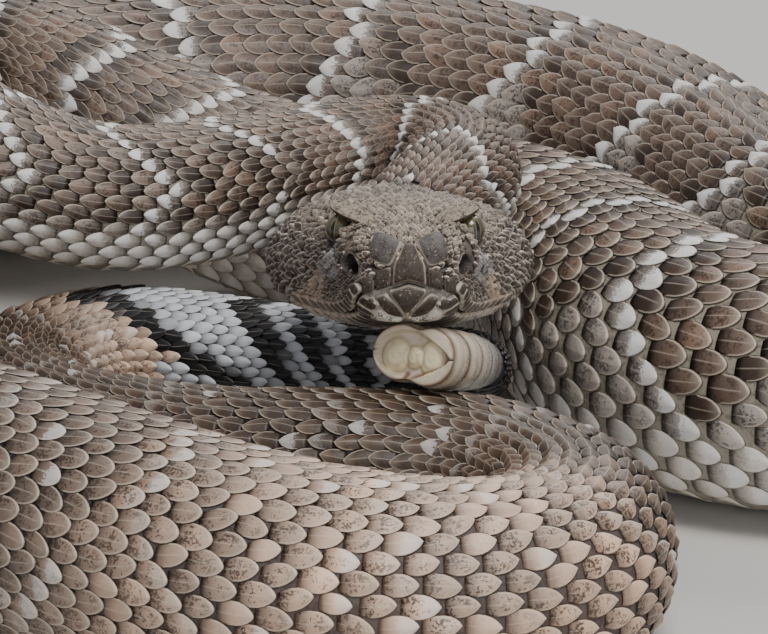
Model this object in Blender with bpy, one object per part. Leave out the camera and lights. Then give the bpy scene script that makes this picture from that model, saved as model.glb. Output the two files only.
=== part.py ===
"""Western diamondback rattlesnake, life size, coiled and at rest on the ground.

The body is one smooth route laid by hand, head end first, with a loaf-shaped
section swept along it. Thin cuts part it into lengths. The head is a loft of
its own with its mouth line, nostrils, heat pits and eye sockets cut in and its
ridges and plates raised on it. The rattle is a string of two-lobed segments.

Sizes are millimetres in the pile's own coordinates: +X to the snake's left,
as seen from in front, +Y away from its snout, +Z up. The finished pieces are
moved so that the pile stands centred over the origin, and scaled to metres.
"""
import math

import bmesh
import bpy
import numpy as np

MM = 0.001
CUT = 0.3                 # gap between neighbouring lengths
SIDES = 20                # corners of a body section
RING_PITCH = 7.2          # distance between body sections
HEIGHT_TO_WIDTH = 0.93    # how much a resting body settles
BELLY_POWER = 2.6         # above 2 flattens the belly
BACK_POWER = 2.05

# Each point is x, y, the belly's height above the ground, and the half-width.
ROUTE = (
    # the neck, raised behind the head and bent back to the left
    (1, 12, 31.3, 9.5),
    (7, 25, 32.3, 10.0),
    (10.5, 38, 31.8, 10.4),
    (3, 50.5, 30.0, 10.8),
    (-14, 50, 27.4, 11.5),
    (-31, 40, 26.0, 12.6),
    (-49, 34, 26.6, 13.0),
    # the fore body turns on top of the pile and comes down behind the neck
    (-67, 37, 31.0, 13.4),
    (-83, 50, 35.5, 14.0),
    (-87, 69, 36.5, 14.8),
    (-74, 86, 30.0, 15.6),
    (-53, 92, 18.0, 16.5),
    (-30, 90, 6.0, 17.5),
    (-5, 82, 0.0, 18.6),
    (19, 66, 0.0, 19.4),
    (33, 42, 0.0, 20.6),
    # the coil at the snake's left side
    (41, 16, 0.0, 22.0),
    (56, -1, 0.0, 22.2),
    (77, -6, 0.0, 22.0),
    (99, 3, 0.0, 21.5),
    (109, 25, 0.0, 21.0),
    (99, 48, 0.0, 20.7),
    (79, 57, 0.0, 20.0),
    # the long lap round the back
    (65, 70, 0.0, 19.6),
    (57, 88, 0.0, 19.8),
    (46, 107, 0.0, 20.5),
    (29, 125, 0.0, 21.0),
    (3, 138, 0.0, 21.3),
    (-29, 142, 0.0, 21.3),
    (-62, 133, 0.0, 21.3),
    (-92, 112, 0.0, 21.3),
    (-110, 80, 0.0, 21.5),
    (-114, 44, 0.0, 21.5),
    (-108, 8, 0.0, 21.5),
    (-93, -22, 0.0, 21.5),
    # the front coil and its hairpin
    (-71.5, -47, 0.0, 21.4),
    (-47, -67, 0.0, 21.0),
    (-20, -84, 0.0, 20.0),
    (4, -88, 0.0, 18.8),
    (22, -79, 0.0, 17.6),
    (26, -60, 0.5, 16.8),
    (13, -44, 1.5, 16.2),
    (-8, -39, 2.0, 15.8),
    (-28, -33, 1.5, 15.0),
    # the hind body turns under the neck, and the tail runs out below the chin
    (-46, -20, 0.5, 14.2),
    (-60, -2, 0.5, 13.2),
    (-60, 17, 2.0, 12.2),
    (-47, 25, 4.0, 11.6),
    (-32, 21, 6.0, 10.8),
    (-15, 15, 8.0, 9.6),
    (0, 9, 10.0, 8.4),
    (11, 1, 13.8, 7.3),
    (13, -9, 19.2, 6.2),
)
LENGTHS = ("neck",) + tuple(f"body_{k}" for k in range(1, 13)) + ("tail",)
# Where the cuts lie, as a share of the route, picked where it bends least.
CUTS = (0.0, 0.062, 0.135, 0.205, 0.283, 0.352, 0.412, 0.492, 0.575, 0.66, 0.75, 0.828, 0.885, 0.928, 1.0)

# The head in side view and plan. Each row is y, half-width, the height of the
# widest level, of the top and of the underside, and the section's power above
# and below.
HEAD_ROWS = (
    (-40.4, 4.0, 50.2, 53.6, 46.9, 2.3, 2.2),
    (-39.8, 6.0, 50.2, 55.0, 45.5, 2.7, 2.4),
    (-38.6, 7.7, 50.0, 55.9, 44.1, 3.0, 2.5),
    (-36.6, 8.9, 49.6, 56.5, 42.7, 3.2, 2.6),
    (-33.5, 9.9, 49.0, 56.7, 41.2, 3.3, 2.6),
    (-30.0, 10.9, 48.0, 56.6, 39.5, 3.5, 2.5),
    (-26.5, 12.0, 46.6, 56.5, 37.7, 3.7, 2.5),
    (-23.0, 13.2, 45.2, 56.3, 36.0, 3.4, 2.4),
    (-19.0, 14.9, 43.8, 55.9, 34.5, 2.9, 2.4),
    (-15.0, 17.1, 42.5, 55.2, 33.1, 2.6, 2.3),
    (-10.5, 19.6, 41.3, 54.2, 31.8, 2.4, 2.3),
    (-5.5, 21.2, 40.5, 52.9, 31.0, 2.3, 2.3),
    (-1.0, 21.0, 40.1, 51.7, 30.7, 2.3, 2.3),
    (3.0, 18.2, 39.9, 50.8, 30.7, 2.3, 2.3),
    (6.5, 14.3, 39.9, 50.1, 30.9, 2.2, 2.3),
    (9.3, 11.0, 40.1, 49.5, 31.2, 2.1, 2.4),
)
HEAD_SIDES = 36
HEAD_PITCH = 2.0          # distance between head sections
SNOUT_X = 1.9
HEAD_SLANT = -0.04        # how far the head's middle strays along X for each step along Y
HEAD_TURN_FROM = -2.0     # behind this y the head turns into the neck

MOUTH = (
    (-41.0, 49.9), (-39.2, 48.5), (-37.0, 46.6), (-34.0, 44.2),
    (-30.0, 41.6), (-25.0, 39.4), (-20.0, 38.0), (-13.0, 36.9),
)
MOUTH_OPEN = 0.45
MOUTH_DEEP = 1.0
LIP_ROWS = (
    # how far from the mouth line, how many on a side, first and last y, half-sizes
    (1.45, 10, -38.6, -16.0, (1.30, 1.25, 0.62)),
    (-1.45, 10, -38.4, -17.0, (1.25, 1.20, 0.60)),
)

EYE = (9.7, -25.4, 53.8)
EYE_RADIUS = 2.5
BROW = (8.7, -24.8, 55.9)
BROW_HALF = (3.9, 6.4, 1.25)
BROW_TURN = (-2.0, -8.0, -25.0)   # degrees about X, Y and Z on the +X side
NOSTRIL = (6.5, -39.1, 52.6)
NOSTRIL_RADIUS = 0.75
PIT = (9.3, -35.8, 51.5)
PIT_RADIUS = 1.4

# Plates on the snout's front as outlines of offset from the middle and height.
# Plates that stand on one side only are mirrored to the other.
ROSTRAL = ((-2.6, 49.2), (-1.3, 49.9), (1.3, 49.9), (2.6, 49.2), (2.3, 52.4), (1.1, 55.3), (-1.1, 55.3), (-2.3, 52.4))
MENTAL = ((-3.2, 48.5), (-1.2, 49.3), (1.2, 49.3), (3.2, 48.5), (0.5, 45.2), (-0.5, 45.2))
NASAL = ((2.9, 52.6), (1.7, 55.0), (3.6, 56.2), (5.6, 55.8), (6.1, 52.9), (4.5, 52.2))
CANTHAL = ((6.7, 53.2), (6.2, 55.5), (7.6, 55.9), (8.7, 54.6), (8.5, 52.9), (7.6, 52.5))
PLATE_RAISED = 0.42
PLATE_SQUARE = 0.62       # below 1 makes the lip plates squarer than an ellipse

RATTLE_TIP = (2.0, -38.0, 37.2)
RATTLE_ELBOW = 10.0       # how far it runs on along the tail before it bends
RATTLE_SEGMENTS = 8
RATTLE_HALF_WIDTH = 6.0
RATTLE_HALF_THICK = 4.5
RATTLE_SIDES = 24


def natural_spline(knots, values, at):
    """Cubic curve through the values, bent like a springy strip with free ends."""
    count = len(knots)
    gap = np.diff(knots)
    left = np.eye(count)
    right = np.zeros((count, values.shape[1]))
    for i in range(1, count - 1):
        left[i, i - 1 : i + 2] = gap[i - 1], 2.0 * (gap[i - 1] + gap[i]), gap[i]
        rise = (values[i + 1] - values[i]) / gap[i] - (values[i] - values[i - 1]) / gap[i - 1]
        right[i] = 6.0 * rise
    bend = np.linalg.solve(left, right)
    k = np.clip(np.searchsorted(knots, at, side="right") - 1, 0, count - 2)
    since = (at - knots[k])[:, None]
    until = (knots[k + 1] - at)[:, None]
    span = gap[k][:, None]
    cubic = (bend[k] * until**3 + bend[k + 1] * since**3) / (6.0 * span)
    start = (values[k] / span - bend[k] * span / 6.0) * until
    end = (values[k + 1] / span - bend[k + 1] * span / 6.0) * since
    return cubic + start + end


def smooth_route(step=1.0):
    """The route's axis at even steps: x, y, z and half-width."""
    points = np.array(ROUTE, float)
    points[:, 2] += HEIGHT_TO_WIDTH * points[:, 3]
    hops = np.linalg.norm(np.diff(points[:, :2], axis=0), axis=1)
    knots = np.r_[0.0, np.cumsum(np.sqrt(hops))]
    fine = natural_spline(knots, points, np.linspace(0.0, knots[-1], 6000))
    along = np.r_[0.0, np.cumsum(np.linalg.norm(np.diff(fine[:, :3], axis=0), axis=1))]
    at = np.linspace(0.0, along[-1], int(along[-1] / step) + 1)
    axis = np.stack([np.interp(at, along, fine[:, i]) for i in range(4)], axis=1)
    axis[:, 2] = np.maximum(axis[:, 2], HEIGHT_TO_WIDTH * axis[:, 3])
    return at, axis


def body_section():
    """Corners of a section of half-width and half-height 1, one edge flat below."""
    turn = 2.0 * np.pi * (np.arange(SIDES) + 0.5) / SIDES
    x, z = np.sin(turn), np.cos(turn)
    power = np.where(z < 0.0, BELLY_POWER, BACK_POWER)
    reach = (np.abs(x) ** power + np.abs(z) ** power) ** (-1.0 / power)
    return x * reach, z * reach / abs((z * reach).min())


def body_rings(at, axis, where):
    """Sections across the route at the distances `where`."""
    tangent = np.gradient(axis[:, :3], axis=0)
    tangent /= np.linalg.norm(tangent, axis=1)[:, None]
    centre = np.stack([np.interp(where, at, axis[:, i]) for i in range(4)], axis=1)
    ahead = np.stack([np.interp(where, at, tangent[:, i]) for i in range(3)], axis=1)
    ahead /= np.linalg.norm(ahead, axis=1)[:, None]
    side = np.cross(ahead, (0.0, 0.0, 1.0))
    side /= np.linalg.norm(side, axis=1)[:, None]
    up = np.cross(side, ahead)
    x, z = body_section()
    half = centre[:, 3][:, None, None]
    rings = centre[:, None, :3] + side[:, None] * x[None, :, None] * half
    rings = rings + up[:, None] * z[None, :, None] * half * HEIGHT_TO_WIDTH
    rings[..., 2] = np.maximum(rings[..., 2], 0.0)
    return rings


AT, AXIS = smooth_route()
_all = body_rings(AT, AXIS, np.arange(0.0, AT[-1], 2.0))
PILE_CENTRE = np.array([
    0.5 * (_all[..., 0].min() + _all[..., 0].max()),
    0.5 * (_all[..., 1].min() + _all[..., 1].max()),
    0.0,
])


def placed(points):
    """Pile coordinates in millimetres to the part's frame in metres."""
    return (np.asarray(points, float) - PILE_CENTRE) * MM


def material(name, colour, roughness):
    """Plain finish close to the real surface's mean colour."""
    made = bpy.data.materials.new(name)
    made.use_nodes = True
    shader = made.node_tree.nodes["Principled BSDF"]
    shader.inputs["Base Color"].default_value = (*colour, 1.0)
    shader.inputs["Roughness"].default_value = roughness
    shader.inputs["Metallic"].default_value = 0.0
    return made


def loft(name, rings, finish, collection):
    """Closed body through rings of equal corner count, with flat ends."""
    rings = np.asarray(rings, float)
    count, sides = rings.shape[:2]
    mesh = bmesh.new()
    rows = [[mesh.verts.new(tuple(p)) for p in ring] for ring in placed(rings)]
    for i in range(count - 1):
        for j in range(sides):
            k = (j + 1) % sides
            mesh.faces.new((rows[i][j], rows[i + 1][j], rows[i + 1][k], rows[i][k]))
    mesh.faces.new(rows[0])
    mesh.faces.new(rows[-1][::-1])
    bmesh.ops.recalc_face_normals(mesh, faces=mesh.faces)
    return finished(name, mesh, finish, collection)


def finished(name, mesh, finish, collection):
    """Turn a bmesh into a smooth-shaded object with its material."""
    data = bpy.data.meshes.new(name)
    mesh.to_mesh(data)
    mesh.free()
    data.materials.append(finish)
    data.shade_smooth()
    made = bpy.data.objects.new(name, data)
    collection.objects.link(made)
    return made


def ball(name, centre, radii, collection, finish, rows=8, turn=(0.0, 0.0, 0.0)):
    """Ellipsoid with the given half-axes, turned about its centre in degrees."""
    bpy.ops.mesh.primitive_uv_sphere_add(segments=2 * rows, ring_count=rows, radius=1.0)
    made = bpy.context.object
    made.name = name
    made.data.name = name
    made.scale = [r * MM for r in radii]
    made.rotation_euler = [math.radians(t) for t in turn]
    made.location = placed(centre)
    made.data.materials.append(finish)
    for other in list(made.users_collection):
        other.objects.unlink(made)
    collection.objects.link(made)
    bpy.context.view_layer.update()
    made.data.transform(made.matrix_world)
    made.matrix_world.identity()
    return made


def largest_surface(mesh):
    """Keep only the closed surface with most faces."""
    mesh.faces.ensure_lookup_table()
    left = set(mesh.faces)
    best = []
    while left:
        island, queue = [], [left.pop()]
        while queue:
            face = queue.pop()
            island.append(face)
            for edge in face.edges:
                for other in edge.link_faces:
                    if other in left:
                        left.remove(other)
                        queue.append(other)
        if len(island) > len(best):
            best = island
    keep = set(best)
    bmesh.ops.delete(mesh, geom=[f for f in mesh.faces if f not in keep], context="FACES")


def combine(target, pieces, operation):
    """One Boolean between an object and a collection, applied; the pieces go."""
    change = target.modifiers.new(operation, "BOOLEAN")
    change.operation = operation
    change.operand_type = "COLLECTION"
    change.collection = pieces
    change.solver = "EXACT"
    bpy.context.view_layer.update()
    seen = target.evaluated_get(bpy.context.evaluated_depsgraph_get())
    result = bpy.data.meshes.new_from_object(seen)
    target.modifiers.clear()
    target.data = result
    mesh = bmesh.new()
    mesh.from_mesh(result)
    largest_surface(mesh)
    mesh.to_mesh(result)
    mesh.free()
    for piece in list(pieces.objects):
        bpy.data.objects.remove(piece)


def make_body(finishes, collection):
    """The lengths of neck, body and tail, parted by thin cuts."""
    edges = np.array(CUTS) * AT[-1]
    for k, name in enumerate(LENGTHS):
        start = edges[k] + 0.5 * CUT
        end = edges[k + 1] - 0.5 * CUT
        where = np.linspace(start, end, max(3, round((end - start) / RING_PITCH) + 1))
        loft(name, body_rings(AT, AXIS, where), finishes["tail" if name == "tail" else "body"], collection)


def head_turn(y):
    """How far the head has turned into the neck at y, from 0 to 1."""
    share = np.clip((y - HEAD_TURN_FROM) / (AXIS[0, 1] - HEAD_TURN_FROM), 0.0, 1.0)
    return share * share * (3.0 - 2.0 * share)


def head_middle(y):
    """X of the head's middle at y."""
    straight = SNOUT_X + HEAD_SLANT * (y - HEAD_ROWS[0][0])
    return straight + (AXIS[0, 0] - straight) * head_turn(y)


def head_row(y):
    """Half-width, widest level, top, underside and both powers at any y."""
    rows = np.array(HEAD_ROWS)
    return natural_spline(rows[:, 0], rows[:, 1:], np.array([float(y)]))[0]


def head_section(half, middle, top, under, power_top, power_under):
    """Corners round a head section as offsets across and heights."""
    turn = 2.0 * np.pi * (np.arange(HEAD_SIDES) + 0.5) / HEAD_SIDES
    x, z = np.sin(turn), np.cos(turn)
    power = np.where(z > 0.0, power_top, power_under)
    reach = (np.abs(x) ** power + np.abs(z) ** power) ** (-1.0 / power)
    rise = np.where(z > 0.0, top - middle, middle - under)
    return x * reach * half, middle + z * reach * rise


def head_side(y, height):
    """Distance from the head's middle plane to its skin at a height."""
    half, middle, top, under, power_top, power_under = head_row(y)
    above = height > middle
    rise = top - middle if above else middle - under
    power = power_top if above else power_under
    share = min(1.0, abs(height - middle) / rise)
    return float(half * (1.0 - share**power) ** (1.0 / power))


def head_front(offset, height):
    """The y where the snout's front meets a line along Y."""
    near, far = HEAD_ROWS[0][0], -28.0
    for _ in range(30):
        middle = 0.5 * (near + far)
        if head_side(middle, height) < abs(offset):
            near = middle
        else:
            far = middle
    return far


def head_rings():
    """Sections from the snout to the neck, turning into the neck's heading."""
    neck = AXIS[0, :3]
    heading = AXIS[4, :3] - neck
    neck_yaw = math.atan2(-heading[0], heading[1])
    neck_pitch = math.atan2(heading[2], math.hypot(heading[0], heading[1]))
    rings = []
    first, last = HEAD_ROWS[0][0], HEAD_ROWS[-1][0]
    stops = np.r_[first, first + 0.6, first + 1.8, np.arange(first + 3.6, last + 0.1, HEAD_PITCH)]
    for y in stops:
        yaw = neck_yaw * head_turn(y)
        x, z = head_section(*head_row(y))
        rings.append(np.stack([head_middle(y) + x * math.cos(yaw), y + x * math.sin(yaw), z], axis=1))
    side = np.array([math.cos(neck_yaw), math.sin(neck_yaw), 0.0])
    ahead = heading / np.linalg.norm(heading)
    up = np.cross(side, ahead)
    half = AXIS[0, 3]
    rise = half * HEIGHT_TO_WIDTH
    x, z = head_section(half, 0.0, rise, -rise, BACK_POWER, BELLY_POWER)
    end = neck - ahead * 0.5 * CUT
    rings.append(end + side * x[:, None] + up * z[:, None])
    return rings


def mouth_cutter(collection, finish):
    """Thin band that follows the skin from one corner of the mouth to the other."""
    line = np.array(MOUTH)
    stops = np.r_[np.linspace(line[-1, 0], -39.0, 17), -39.7, -40.15]
    inner, outer = [], []
    for sign in (-1, 1):
        for y in stops if sign < 0 else stops[::-1]:
            height = float(np.interp(y, line[:, 0], line[:, 1]))
            reach = head_side(y, height)
            push = min(1.0, (y - line[-1, 0]) / -4.0)
            deep = 0.2 + (MOUTH_DEEP - 0.2) * push
            inner.append((head_middle(y) + sign * max(reach - deep, 0.3), y + (deep if y < -36.0 else 0.0), height))
            outer.append((head_middle(y) + sign * (reach + 1.6), y - (1.8 if y < -36.0 else 0.0), height))
    inner, outer = np.array(inner), np.array(outer)
    half = np.array((0.0, 0.0, 0.5 * MOUTH_OPEN))
    rings = np.stack([inner, outer - 1.4 * half, outer + 1.4 * half], axis=1)
    loft("mouth_cutter", rings, finish, collection)


def side_plate(name, sign, y, height, half_sizes, collection, finish):
    """Low oval plate lying on the side of the head, sized along, up and out."""
    here = np.array((sign * head_side(y, height), y, height))
    along = np.array((sign * head_side(y + 0.5, height), y + 0.5, height)) - here
    rising = np.array((sign * head_side(y, height + 0.5), y, height + 0.5)) - here
    along /= np.linalg.norm(along)
    out = np.cross(along, rising)
    out *= sign * np.sign(out[0]) / np.linalg.norm(out)
    up = np.cross(out, along)
    made = ball(name, (0.0, 0.0, 0.0), (1.0, 1.0, 1.0), collection, finish, rows=4)
    grid = np.array([v.co for v in made.data.vertices]) / MM + PILE_CENTRE
    grid = np.sign(grid) * np.abs(grid) ** PLATE_SQUARE
    turned = grid @ np.stack([along * half_sizes[0], up * half_sizes[1], out * half_sizes[2]])
    for vertex, point in zip(made.data.vertices, placed(turned + here + (head_middle(y), 0.0, 0.0))):
        vertex.co = point
    return made


def front_plate(name, outline, sign, collection, finish):
    """Low plate on the snout's front, from an outline of offset and height."""
    corners = np.array(outline, float)
    corners[:, 0] *= sign
    middle = corners.mean(0)
    rings = []
    for shrink, out in ((0.9, -1.3), (1.0, -0.1), (0.92, PLATE_RAISED)):
        ring = middle + (corners - middle) * shrink
        rings.append([(SNOUT_X + x, head_front(x, z) - out, z) for x, z in ring])
    return loft(name, rings, finish, collection)


def raise_forms(collection, finish):
    """Brows, lips and snout plates, each sunk well into the head."""
    for sign in (-1, 1):
        x, y, z = BROW
        pitch, roll, yaw = BROW_TURN
        turn = (pitch, roll * sign, yaw * sign)
        ball(f"brow_{sign}", (head_middle(y) + sign * x, y, z), BROW_HALF, collection, finish, rows=7, turn=turn)
        front_plate(f"nasal_{sign}", NASAL, sign, collection, finish)
        front_plate(f"canthal_{sign}", CANTHAL, sign, collection, finish)
        for rise, count, first, last, half_sizes in LIP_ROWS:
            for k, y in enumerate(np.linspace(first, last, count)):
                level = np.interp(y, [m[0] for m in MOUTH], [m[1] for m in MOUTH]) + rise
                side_plate(f"lip_{sign}_{rise}_{k}", sign, y, level, half_sizes, collection, finish)
    front_plate("rostral", ROSTRAL, 1, collection, finish)
    front_plate("mental", MENTAL, 1, collection, finish)


def make_head(finishes, collection, cutters, raised):
    """Head, with what is raised on it joined and what is sunk in it cut."""
    skin = finishes["body"]
    head = loft("head", head_rings(), skin, collection)
    raise_forms(raised, skin)
    combine(head, raised, "UNION")
    mouth_cutter(cutters, skin)
    for sign in (-1, 1):
        x, y, z = EYE
        socket = EYE_RADIUS + CUT
        ball(f"socket_{sign}", (head_middle(y) + sign * x, y, z), (socket,) * 3, cutters, skin, rows=10)
        x, y, z = NOSTRIL
        ball(f"nostril_{sign}", (head_middle(y) + sign * x, y, z), (NOSTRIL_RADIUS,) * 3, cutters, skin, rows=5)
        x, y, z = PIT
        ball(f"pit_{sign}", (head_middle(y) + sign * x, y, z), (PIT_RADIUS,) * 3, cutters, skin, rows=6)
    combine(head, cutters, "DIFFERENCE")
    for sign, name in ((-1, "eye_right"), (1, "eye_left")):
        x, y, z = EYE
        ball(name, (head_middle(y) + sign * x, y, z), (EYE_RADIUS,) * 3, collection, finishes["eye"], rows=8)


def rattle_profile():
    """Stops along the rattle, each a distance share and a width share."""
    stops = []
    step = 1.0 / RATTLE_SEGMENTS
    for k in range(RATTLE_SEGMENTS):
        start = k * step
        stops += [(start, 0.84), (start + 0.25 * step, 0.95), (start + 0.70 * step, 1.0), (start + 0.95 * step, 0.92)]
    stops.append((1.0, 0.80))
    return stops


def make_rattle(finishes, collection):
    """String of flattened two-lobed segments, on from the tail's end."""
    end = AXIS[-1, :3]
    lead = AXIS[-1, :3] - AXIS[-5, :3]
    lead /= np.linalg.norm(lead)
    tip = np.array(RATTLE_TIP)
    base = end + lead * CUT
    elbow = base + lead * RATTLE_ELBOW
    turn = 2.0 * np.pi * (np.arange(RATTLE_SIDES) + 0.5) / RATTLE_SIDES
    groove = 1.0 - 0.16 * np.exp(-((np.sin(turn) / 0.28) ** 2))
    power = 2.3
    round_off = (np.abs(np.sin(turn)) ** power + np.abs(np.cos(turn)) ** power) ** (-1.0 / power)
    rings = []
    for share, width in rattle_profile():
        centre = base * (1.0 - share) ** 2 + elbow * 2.0 * share * (1.0 - share) + tip * share**2
        ahead = (elbow - base) * (1.0 - share) + (tip - elbow) * share
        ahead /= np.linalg.norm(ahead)
        side = np.cross(ahead, (0.0, 0.0, 1.0))
        side /= np.linalg.norm(side)
        up = np.cross(side, ahead)
        x = np.sin(turn) * round_off * RATTLE_HALF_WIDTH * width
        z = np.cos(turn) * round_off * groove * RATTLE_HALF_THICK * width
        rings.append(centre + side * x[:, None] + up * z[:, None])
    loft("rattle", rings, finishes["rattle"], collection)


def main():
    for old in list(bpy.data.objects):
        bpy.data.objects.remove(old)
    snake = bpy.data.collections.new("western_diamondback_rattlesnake")
    cutters = bpy.data.collections.new("cutters")
    raised = bpy.data.collections.new("raised")
    for group in (snake, cutters, raised):
        bpy.context.scene.collection.children.link(group)
    finishes = {
        "body": material("snake_skin", (0.36, 0.27, 0.19), 0.6),
        "tail": material("banded_tail_skin", (0.30, 0.30, 0.30), 0.6),
        "eye": material("eye", (0.22, 0.20, 0.12), 0.12),
        "rattle": material("rattle_keratin", (0.62, 0.52, 0.38), 0.45),
    }
    make_body(finishes, snake)
    make_head(finishes, snake, cutters, raised)
    make_rattle(finishes, snake)
    for group in (cutters, raised):
        bpy.data.collections.remove(group)


main()
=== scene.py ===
"""Looks of the western diamondback rattlesnake: one skin over the whole body,
keeled scales laid over it in rows, belly scutes, head plates, eyes and rattle.

Sizes are millimetres in the pile's own coordinates until place() turns them
into metres in the frame. Along the snake, s runs in millimetres from the neck
joint: below zero towards the snout, above zero towards the tail. Round it,
the angle a is zero on the back and grows to half a turn at the belly.
"""
import functools
import math

import bpy
import numpy as np
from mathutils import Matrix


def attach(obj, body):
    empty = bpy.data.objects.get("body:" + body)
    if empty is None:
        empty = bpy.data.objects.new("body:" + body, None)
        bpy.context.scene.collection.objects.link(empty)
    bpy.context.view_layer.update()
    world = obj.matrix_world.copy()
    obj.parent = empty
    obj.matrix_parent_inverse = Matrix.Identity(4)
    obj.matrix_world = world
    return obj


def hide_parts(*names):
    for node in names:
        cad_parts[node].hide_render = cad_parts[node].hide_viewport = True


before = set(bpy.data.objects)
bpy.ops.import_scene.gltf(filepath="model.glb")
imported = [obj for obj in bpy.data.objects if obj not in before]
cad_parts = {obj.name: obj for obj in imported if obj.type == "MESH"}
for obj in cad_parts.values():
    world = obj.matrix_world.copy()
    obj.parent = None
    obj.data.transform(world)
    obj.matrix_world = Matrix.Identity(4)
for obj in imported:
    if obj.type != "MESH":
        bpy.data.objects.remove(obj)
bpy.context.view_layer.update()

MM = 0.001
HEIGHT_TO_WIDTH = 0.93
BELLY_POWER = 2.6
BACK_POWER = 2.05
CUT = 0.3

# Each point is x, y, the belly's height above the ground, and the half-width.
ROUTE = (
    # the neck, raised behind the head and bent back to the left
    (1, 12, 31.3, 9.5), (7, 25, 32.3, 10.0), (10.5, 38, 31.8, 10.4), (3, 50.5, 30.0, 10.8),
    (-14, 50, 27.4, 11.5), (-31, 40, 26.0, 12.6), (-49, 34, 26.6, 13.0),
    # the fore body turns on top of the pile and comes down behind the neck
    (-67, 37, 31.0, 13.4), (-83, 50, 35.5, 14.0), (-87, 69, 36.5, 14.8), (-74, 86, 30.0, 15.6),
    (-53, 92, 18.0, 16.5), (-30, 90, 6.0, 17.5), (-5, 82, 0.0, 18.6), (19, 66, 0.0, 19.4),
    (33, 42, 0.0, 20.6),
    # the coil at the snake's left side
    (41, 16, 0.0, 22.0), (56, -1, 0.0, 22.2), (77, -6, 0.0, 22.0), (99, 3, 0.0, 21.5),
    (109, 25, 0.0, 21.0), (99, 48, 0.0, 20.7), (79, 57, 0.0, 20.0),
    # the long lap round the back
    (65, 70, 0.0, 19.6), (57, 88, 0.0, 19.8), (46, 107, 0.0, 20.5), (29, 125, 0.0, 21.0),
    (3, 138, 0.0, 21.3), (-29, 142, 0.0, 21.3), (-62, 133, 0.0, 21.3), (-92, 112, 0.0, 21.3),
    (-110, 80, 0.0, 21.5), (-114, 44, 0.0, 21.5), (-108, 8, 0.0, 21.5), (-93, -22, 0.0, 21.5),
    # the front coil and its hairpin
    (-71.5, -47, 0.0, 21.4), (-47, -67, 0.0, 21.0), (-20, -84, 0.0, 20.0), (4, -88, 0.0, 18.8),
    (22, -79, 0.0, 17.6), (26, -60, 0.5, 16.8), (13, -44, 1.5, 16.2), (-8, -39, 2.0, 15.8),
    (-28, -33, 1.5, 15.0),
    # the hind body turns under the neck, and the tail runs out below the chin
    (-46, -20, 0.5, 14.2), (-60, -2, 0.5, 13.2), (-60, 17, 2.0, 12.2), (-47, 25, 4.0, 11.6),
    (-32, 21, 6.0, 10.8), (-15, 15, 8.0, 9.6), (0, 9, 10.0, 8.4), (11, 1, 13.8, 7.3),
    (13, -9, 19.2, 6.2),
)
# Each row is y, half-width, the height of the widest level, of the top and of
# the underside, and the section's power above and below.
HEAD_ROWS = (
    (-40.4, 4.0, 50.2, 53.6, 46.9, 2.3, 2.2),
    (-39.8, 6.0, 50.2, 55.0, 45.5, 2.7, 2.4),
    (-38.6, 7.7, 50.0, 55.9, 44.1, 3.0, 2.5),
    (-36.6, 8.9, 49.6, 56.5, 42.7, 3.2, 2.6),
    (-33.5, 9.9, 49.0, 56.7, 41.2, 3.3, 2.6),
    (-30.0, 10.9, 48.0, 56.6, 39.5, 3.5, 2.5),
    (-26.5, 12.0, 46.6, 56.5, 37.7, 3.7, 2.5),
    (-23.0, 13.2, 45.2, 56.3, 36.0, 3.4, 2.4),
    (-19.0, 14.9, 43.8, 55.9, 34.5, 2.9, 2.4),
    (-15.0, 17.1, 42.5, 55.2, 33.1, 2.6, 2.3),
    (-10.5, 19.6, 41.3, 54.2, 31.8, 2.4, 2.3),
    (-5.5, 21.2, 40.5, 52.9, 31.0, 2.3, 2.3),
    (-1.0, 21.0, 40.1, 51.7, 30.7, 2.3, 2.3),
    (3.0, 18.2, 39.9, 50.8, 30.7, 2.3, 2.3),
    (6.5, 14.3, 39.9, 50.1, 30.9, 2.2, 2.3),
    (9.3, 11.0, 40.1, 49.5, 31.2, 2.1, 2.4),
)
SNOUT_Y = HEAD_ROWS[0][0]
SNOUT_X = 1.9
NECK_Y = ROUTE[0][1]
HEAD_SLANT = -0.04        # how far the head's middle strays along X for each step along Y
HEAD_TURN_FROM = -2.0     # behind this y the head turns into the neck
SNOUT_ROUND = 0.35        # how far the snout's flat front is rounded out
TAIL_SLIM = 0.26          # the tail narrows by this share where it meets the rattle
TAIL_SLIM_OVER = 12.0

COAT = 0.75               # depth of the scales over the skin
SKIN_SIDES = 160
SKIN_PITCH = 3.2
HEAD_SKIN_PITCH = 0.4
DORSAL_ROWS = 25
BELLY_HALF = 0.80         # half the angle that the belly scutes take up
ROW_ANGLE = 2.0 * (math.pi - BELLY_HALF) / DORSAL_ROWS
SCALE_PITCH = 4.8         # from one scale to the next where the body is thickest
FULL_HALF_WIDTH = 21.5
SCALE_STEPS = (8, 6)      # faces along and across one scale
HEAD_SCALE_STEPS = (5, 4)
SCALE_MIDDLE = 0.40       # a scale's place on the body, as a share of its length
SCALE_WIDEST = 0.42
SCALE_BLUNT = 0.68
BODY_PIECES = 6

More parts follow.
